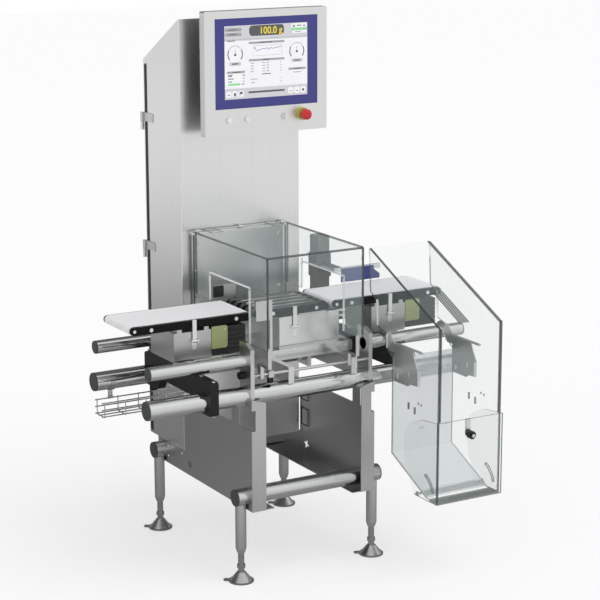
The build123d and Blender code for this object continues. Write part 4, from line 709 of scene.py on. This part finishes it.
# Terminal: a flat steel housing with a touch glass, two push buttons, a key switch and a
# mushroom stop button in its collar, all let into the front.
terminal_steel = brushed_steel("terminal_steel", (0.75, 0.755, 0.745), (110.0, 110.0, 4.0),
                               0.36, 0.44, 0.015, 0.02)
dress(terminal_steel, "terminal_housing")
button_white = moulded("button_white", (0.80, 0.80, 0.80), 0.25, 0.35, 0.02, 0.02)
dress(button_white, "button_left", "button_right")
dress(rod_steel, "key_switch")
dress(moulded("stop_red", (0.58, 0.012, 0.02), 0.22, 0.3, 0.02, 0.03), "stop_head")
dress(moulded("collar_olive", (0.44, 0.42, 0.05), 0.28, 0.36, 0.02, 0.03), "stop_collar")


def glassy(name, colour, glow=0.0):
    """A colour under the touch glass, lit from behind by glow."""
    made, tree, shader = new_material(name, 0.12)
    shade = object_noise(tree, (30.0, 30.0, 30.0), detail=2.0)
    dark = tuple(c * 0.97 for c in colour)
    tone = two_tones(tree, shade, dark, colour)
    tree.links.new(tone, shader.inputs["Base Color"])
    tree.links.new(tone, shader.inputs["Emission Color"])
    shader.inputs["Emission Strength"].default_value = glow
    return made


dress(glassy("glass_blue", (0.040, 0.040, 0.235)), "display_glass")
screen_tones = {
    "white": (0.88, 0.88, 0.90), "pale": (0.62, 0.62, 0.65), "grey": (0.36, 0.36, 0.38),
    "dark": (0.09, 0.09, 0.10), "yellow": (0.90, 0.72, 0.02), "green": (0.22, 0.72, 0.25),
    "line_blue": (0.08, 0.09, 0.42), "red": (0.55, 0.05, 0.04),
}
screen_glow = 0.12
screen_paint = {name: glassy("screen_" + name, tone, screen_glow)
                for name, tone in screen_tones.items()}
screen_order = list(screen_tones)
low_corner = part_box("display_glass")[0]
screen_points = []
screen_faces = []
screen_slots = []
layer_step = 0.00004


def on_screen(x, z, layer):
    """A point on the glass, in millimetres from its lower left corner, raised by whole layers."""
    return low_corner.x + x / 1000, low_corner.y - layer * layer_step, low_corner.z + z / 1000


def draw(outline, tone, layer):
    first = len(screen_points)
    screen_points.extend(on_screen(x, z, layer) for x, z in outline)
    screen_faces.append(tuple(range(first, first + len(outline))))
    screen_slots.append(screen_order.index(tone))


def panel(x0, z0, x1, z1, tone, layer, corner=0.0):
    if not corner:
        draw([(x0, z0), (x1, z0), (x1, z1), (x0, z1)], tone, layer)
        return
    outline = []
    for cx, cz, start in ((x1 - corner, z0 + corner, -90), (x1 - corner, z1 - corner, 0),
                          (x0 + corner, z1 - corner, 90), (x0 + corner, z0 + corner, 180)):
        for step in range(7):
            angle = math.radians(start + 15 * step)
            outline.append((cx + corner * math.cos(angle), cz + corner * math.sin(angle)))
    draw(outline, tone, layer)


def stroke(points, width, tone, layer):
    for (x0, z0), (x1, z1) in zip(points, points[1:]):
        length = math.hypot(x1 - x0, z1 - z0)
        dx, dz = (z1 - z0) / length * width / 2, (x0 - x1) / length * width / 2
        outline = [(x0 + dx, z0 + dz), (x1 + dx, z1 + dz), (x1 - dx, z1 - dz), (x0 - dx, z0 - dz)]
        draw(outline, tone, layer)


def gauge(x, z, r):
    """A round dial with a heavy lower ring, a needle and a number box."""

    def arc(radius, angles):
        return [(x + radius * math.cos(math.radians(a)), z + radius * math.sin(math.radians(a)))
                for a in angles]

    stroke(arc(r, range(-40, 221, 13)), 1.4, "grey", 3)
    for start in (150, -40):
        stroke(arc(r - 1, range(start, start + 71, 10)), 3.4, "dark", 4)
    panel(x - 21, z - r - 9, x + 21, z - r + 3, "pale", 4, 3)
    panel(x - 12, z - r - 5, x + 12, z - r - 1, "dark", 5)
    stroke([(x, z - 2), (x, z + 14)], 1.6, "red", 4)
    panel(x - 4, z - 5, x + 4, z + 2, "dark", 5, 3)


def marks(x0, x1, z, tone="grey", layer=4, height=2.6):
    panel(x0, z - height / 2, x1, z + height / 2, tone, layer)


panel(34, 30, 336, 262, "white", 1)
panel(34, 214, 336, 262, "pale", 2)
panel(34, 30, 336, 64, "pale", 2)
stroke([(34, 218), (336, 218)], 1.5, "grey", 3)
panel(123, 227, 250, 260, "dark", 3, 12)
for z in (244, 229):
    panel(36, z, 96, z + 11, "grey", 3, 5)
    marks(48, 78, z + 5.5, "dark")
panel(276, 246, 334, 260, "white", 3, 5)
draw([(281, 249), (291, 249), (286, 257)], "dark", 4)
marks(298, 314, 253, "dark")
draw([(320, 249), (328, 249), (324, 256)], "dark", 4)
panel(276, 239, 336, 245, "green", 3)
panel(280, 229, 334, 237, "white", 3, 4)
marks(290, 312, 233)
marks(44, 72, 214.5, "dark")
for x0, x1 in ((36, 110), (119, 253), (263, 334)):
    panel(x0, 66, x1, 210, "white", 3)
panel(121, 202, 251, 209, "grey", 4)
marks(160, 206, 205.5, "dark", 5)
stroke([(136, 164), (136, 196), (243, 196), (243, 164), (136, 164)], 0.8, "grey", 4)
trend = [(139, 186), (143, 192), (147, 182), (152, 178), (157, 183), (163, 181), (170, 186),
         (178, 184), (186, 187), (194, 184), (202, 187), (210, 184), (217, 188), (223, 185),
         (229, 190), (234, 187), (240, 191)]
stroke(trend, 1.5, "line_blue", 5)
panel(121, 147, 251, 154, "grey", 4)
marks(172, 196, 150.5, "dark", 5)
for z in (141, 132, 123, 114):
    marks(127, 139, z)
    for x in (170, 185):
        marks(x, x + 10, z)
    marks(236, 240, z)
marks(168, 200, 105, "dark")
for z, x1 in ((90, 152), (79, 142)):
    marks(128, x1, z)
    marks(236, 239, z)
gauge(72, 172, 27)
gauge(297, 172, 27)
for x0, x1 in ((42, 107), (266, 330)):
    panel(x0, 112, x1, 119, "grey", 4)
    marks(x0 + 20, x1 - 16, 115.5, "dark", 5)
marks(284, 312, 104)
for z, x1 in ((107, 62), (103, 60), (95, 66), (86, 60)):
    marks(46, x1, z, "dark")
    marks(98, 106, z)
panel(46, 74, 90, 80, "green", 4)
marks(94, 105, 77, "dark")
panel(119, 46, 251, 52, "dark", 3)
for x in (38, 60, 82, 264, 287, 310):
    panel(x, 36, x + 20, 56, "white", 3, 5)
marks(44, 52, 44, "dark")
draw([(64, 44), (76, 44), (70, 52)], "dark", 4)
panel(67, 39, 73, 44, "dark", 4)
stroke([(88, 40), (88, 52)], 2.0, "dark", 4)
draw([(89, 45), (98, 46), (98, 53), (89, 52)], "dark", 4)
marks(270, 279, 44)
marks(292, 302, 44)
panel(316, 42, 324, 50, "dark", 4, 3)

reading = bpy.data.curves.new("reading", "FONT")
reading.body = "100.0 g"
reading.size = 34.0
reading.offset = 0.5
reading_object = bpy.data.objects.new("reading", reading)
bpy.context.scene.collection.objects.link(reading_object)
bpy.context.view_layer.update()
ready = reading_object.evaluated_get(bpy.context.evaluated_depsgraph_get())
digits = bpy.data.meshes.new_from_object(ready)
reading_x, reading_z, reading_width, reading_height = 160.0, 233.0, 84.0, 0.9
squeeze = reading_width / max(vertex.co.x for vertex in digits.vertices)
first = len(screen_points)
screen_points.extend(on_screen(reading_x + vertex.co.x * squeeze,
                               reading_z + vertex.co.y * reading_height, 5)
                     for vertex in digits.vertices)
for face in digits.polygons:
    screen_faces.append(tuple(first + i for i in face.vertices))
    screen_slots.append(screen_order.index("yellow"))
bpy.data.objects.remove(reading_object)

picture = bpy.data.meshes.new("screen_picture")
picture.from_pydata(screen_points, [], screen_faces)
for name in screen_order:
    picture.materials.append(screen_paint[name])
picture.polygons.foreach_set("material_index", screen_slots)
new_piece("screen_picture", picture, "terminal")

mount_back, housing_rim = 389.0, 361.0
terminal_rows = [(x, mount_back, z, rear, 3.4) for x in (-60.0, 150.0) for z in (1470.0, 1650.0)]
terminal_rows += [(x, housing_rim, z, rear, 3.4) for x in (-168.0, 258.0) for z in (1374.0, 1749.0)]
fit_screws("terminal_screws", "terminal", terminal_rows)

# Studio: a pale floor that keeps the soft shadow, a plain bright world and two soft lamps.
# In reflections the floor shows a painted shadow near the machine.
floor_half = 20.0
mesh = bpy.data.meshes.new("floor")
floor_corners = [(-floor_half, -floor_half, 0), (floor_half, -floor_half, 0),
                 (floor_half, floor_half, 0), (-floor_half, floor_half, 0)]
mesh.from_pydata(floor_corners, [], [(0, 1, 2, 3)])
floor = bpy.data.objects.new("floor", mesh)
bpy.context.scene.collection.objects.link(floor)

paper_share, paper_strength = 0.5, 1.14
floor_look, tree, shader = new_material("floor_look", 0.7)
shader.inputs["Base Color"].default_value = (0.85, 0.85, 0.85, 1.0)
shader.inputs["Specular IOR Level"].default_value = 0.1
path = add_node(tree, "ShaderNodeLightPath")
seen_rays = [path.outputs["Is Camera Ray"], path.outputs["Is Transmission Ray"]]
share = scaled(tree, joined(tree, "MAXIMUM", seen_rays), paper_share)
paper = add_node(tree, "ShaderNodeEmission", in_Color=(1, 1, 1, 1), in_Strength=paper_strength)
seen = add_node(tree, "ShaderNodeMixShader")
tree.links.new(share, seen.inputs["Fac"])
tree.links.new(shader.outputs["BSDF"], seen.inputs[1])
tree.links.new(paper.outputs["Emission"], seen.inputs[2])

# In reflections the floor is a painted shadow: darker under the machine and towards its rear, even
# white far off.
coords = add_node(tree, "ShaderNodeTexCoord")
reach = add_node(tree, "ShaderNodeVectorMath", operation="LENGTH")
tree.links.new(coords.outputs["Object"], reach.inputs[0])
sides = add_node(tree, "ShaderNodeSeparateXYZ")
tree.links.new(coords.outputs["Object"], sides.inputs[0])
far = between(tree, reach.outputs["Value"], 0.0, 1.0, 3.0, 6.8)
rear_painted_shade = between(tree, sides.outputs["Y"], 0.86, 0.22, -1.2, 1.2)
under = between(tree, reach.outputs["Value"], 0.62, 1.0, 0.5, 1.5)
painted_shadow_level = add_node(tree, "ShaderNodeMix", data_type="FLOAT", in_B=1.0)
tree.links.new(far, painted_shadow_level.inputs["Factor"])
tree.links.new(joined(tree, "MULTIPLY", [rear_painted_shade, under]), painted_shadow_level.inputs["A"])
mirrored = add_node(tree, "ShaderNodeEmission", in_Color=(1, 1, 1, 1))
tree.links.new(painted_shadow_level.outputs["Result"], mirrored.inputs["Strength"])
floor_mix = add_node(tree, "ShaderNodeMixShader")
tree.links.new(path.outputs["Is Glossy Ray"], floor_mix.inputs["Fac"])
tree.links.new(seen.outputs["Shader"], floor_mix.inputs[1])
tree.links.new(mirrored.outputs["Emission"], floor_mix.inputs[2])
tree.links.new(floor_mix.outputs["Shader"], tree.nodes["Material Output"].inputs["Surface"])
mesh.materials.append(floor_look)

world = bpy.data.worlds.new("studio")
bpy.context.scene.world = world
world.use_nodes = True
tree = world.node_tree
back = tree.nodes["Background"]
coords = add_node(tree, "ShaderNodeTexCoord")
sides = add_node(tree, "ShaderNodeSeparateXYZ")
tree.links.new(coords.outputs["Generated"], sides.inputs[0])
front_sky = ((0.0, 1.0), (0.15, 1.0), (0.7, 1.2), (0.88, 1.0), (1.0, 0.3))
rear_sky = ((0.0, 0.8), (0.1, 0.35), (0.5, 0.16), (0.85, 0.16), (1.0, 0.3))
skies = []
for levels in (front_sky, rear_sky):
    sky = add_node(tree, "ShaderNodeValToRGB")
    sky.color_ramp.interpolation = "EASE"
    for _ in range(len(levels) - 2):
        sky.color_ramp.elements.new(0.5)
    for element, (height, shade) in zip(sky.color_ramp.elements, levels):
        element.position = height
        element.color = (shade, shade, shade, 1.0)
    tree.links.new(sides.outputs["Z"], sky.inputs["Fac"])
    skies.append(sky)
sky = add_node(tree, "ShaderNodeMix", data_type="FLOAT")
tree.links.new(between(tree, sides.outputs["Y"], 0.0, 1.0, -0.25, 0.25), sky.inputs["Factor"])
tree.links.new(skies[0].outputs["Color"], sky.inputs["A"])
tree.links.new(skies[1].outputs["Color"], sky.inputs["B"])
path = add_node(tree, "ShaderNodeLightPath")
seen_rays = [path.outputs["Is Camera Ray"], path.outputs["Is Transmission Ray"]]
ambient = 0.62
plain = add_node(tree, "ShaderNodeMix", data_type="FLOAT", in_A=ambient, in_B=1.0)
tree.links.new(joined(tree, "MAXIMUM", seen_rays), plain.inputs["Factor"])
pick = add_node(tree, "ShaderNodeMix", data_type="FLOAT")
tree.links.new(path.outputs["Is Glossy Ray"], pick.inputs["Factor"])
tree.links.new(plain.outputs["Result"], pick.inputs["A"])
tree.links.new(sky.outputs["Result"], pick.inputs["B"])
back.inputs["Color"].default_value = (1, 1, 1, 1)
tree.links.new(pick.outputs["Result"], back.inputs["Strength"])

lamps = (("key", (1.6, -2.6, 4.4), 1.15, 50.0), ("fill", (-3.0, -2.0, 2.2), 0.35, 60.0))
for name, place, strength, softness in lamps:
    data = bpy.data.lights.new(name, "SUN")
    data.energy = strength
    data.angle = math.radians(softness)
    lamp = bpy.data.objects.new(name, data)
    bpy.context.scene.collection.objects.link(lamp)
    lamp.location = place
    lamp.rotation_euler = (-Vector(place)).to_track_quat("-Z", "Y").to_euler()
    lamp.visible_glossy = False

lens, sensor, farthest = 116.87, 36.0, 60.0
camera_data = bpy.data.cameras.new("camera")
camera_data.sensor_width = sensor
camera_data.lens = lens
camera_data.clip_end = farthest
camera = bpy.data.objects.new("camera", camera_data)
bpy.context.scene.collection.objects.link(camera)
camera_place = (-2.99953, -5.27471, 2.26876)
pitch, yaw, roll = math.radians(13.18), math.radians(30.15), math.radians(0.10)
turn = Matrix.Rotation(-yaw, 4, "Z") @ Matrix.Rotation(math.pi / 2 - pitch, 4, "X")
turn = turn @ Matrix.Rotation(-roll, 4, "Z")
camera.matrix_world = Matrix.Translation(camera_place) @ turn
bpy.context.scene.camera = camera

bpy.context.scene.view_settings.view_transform = "Standard"
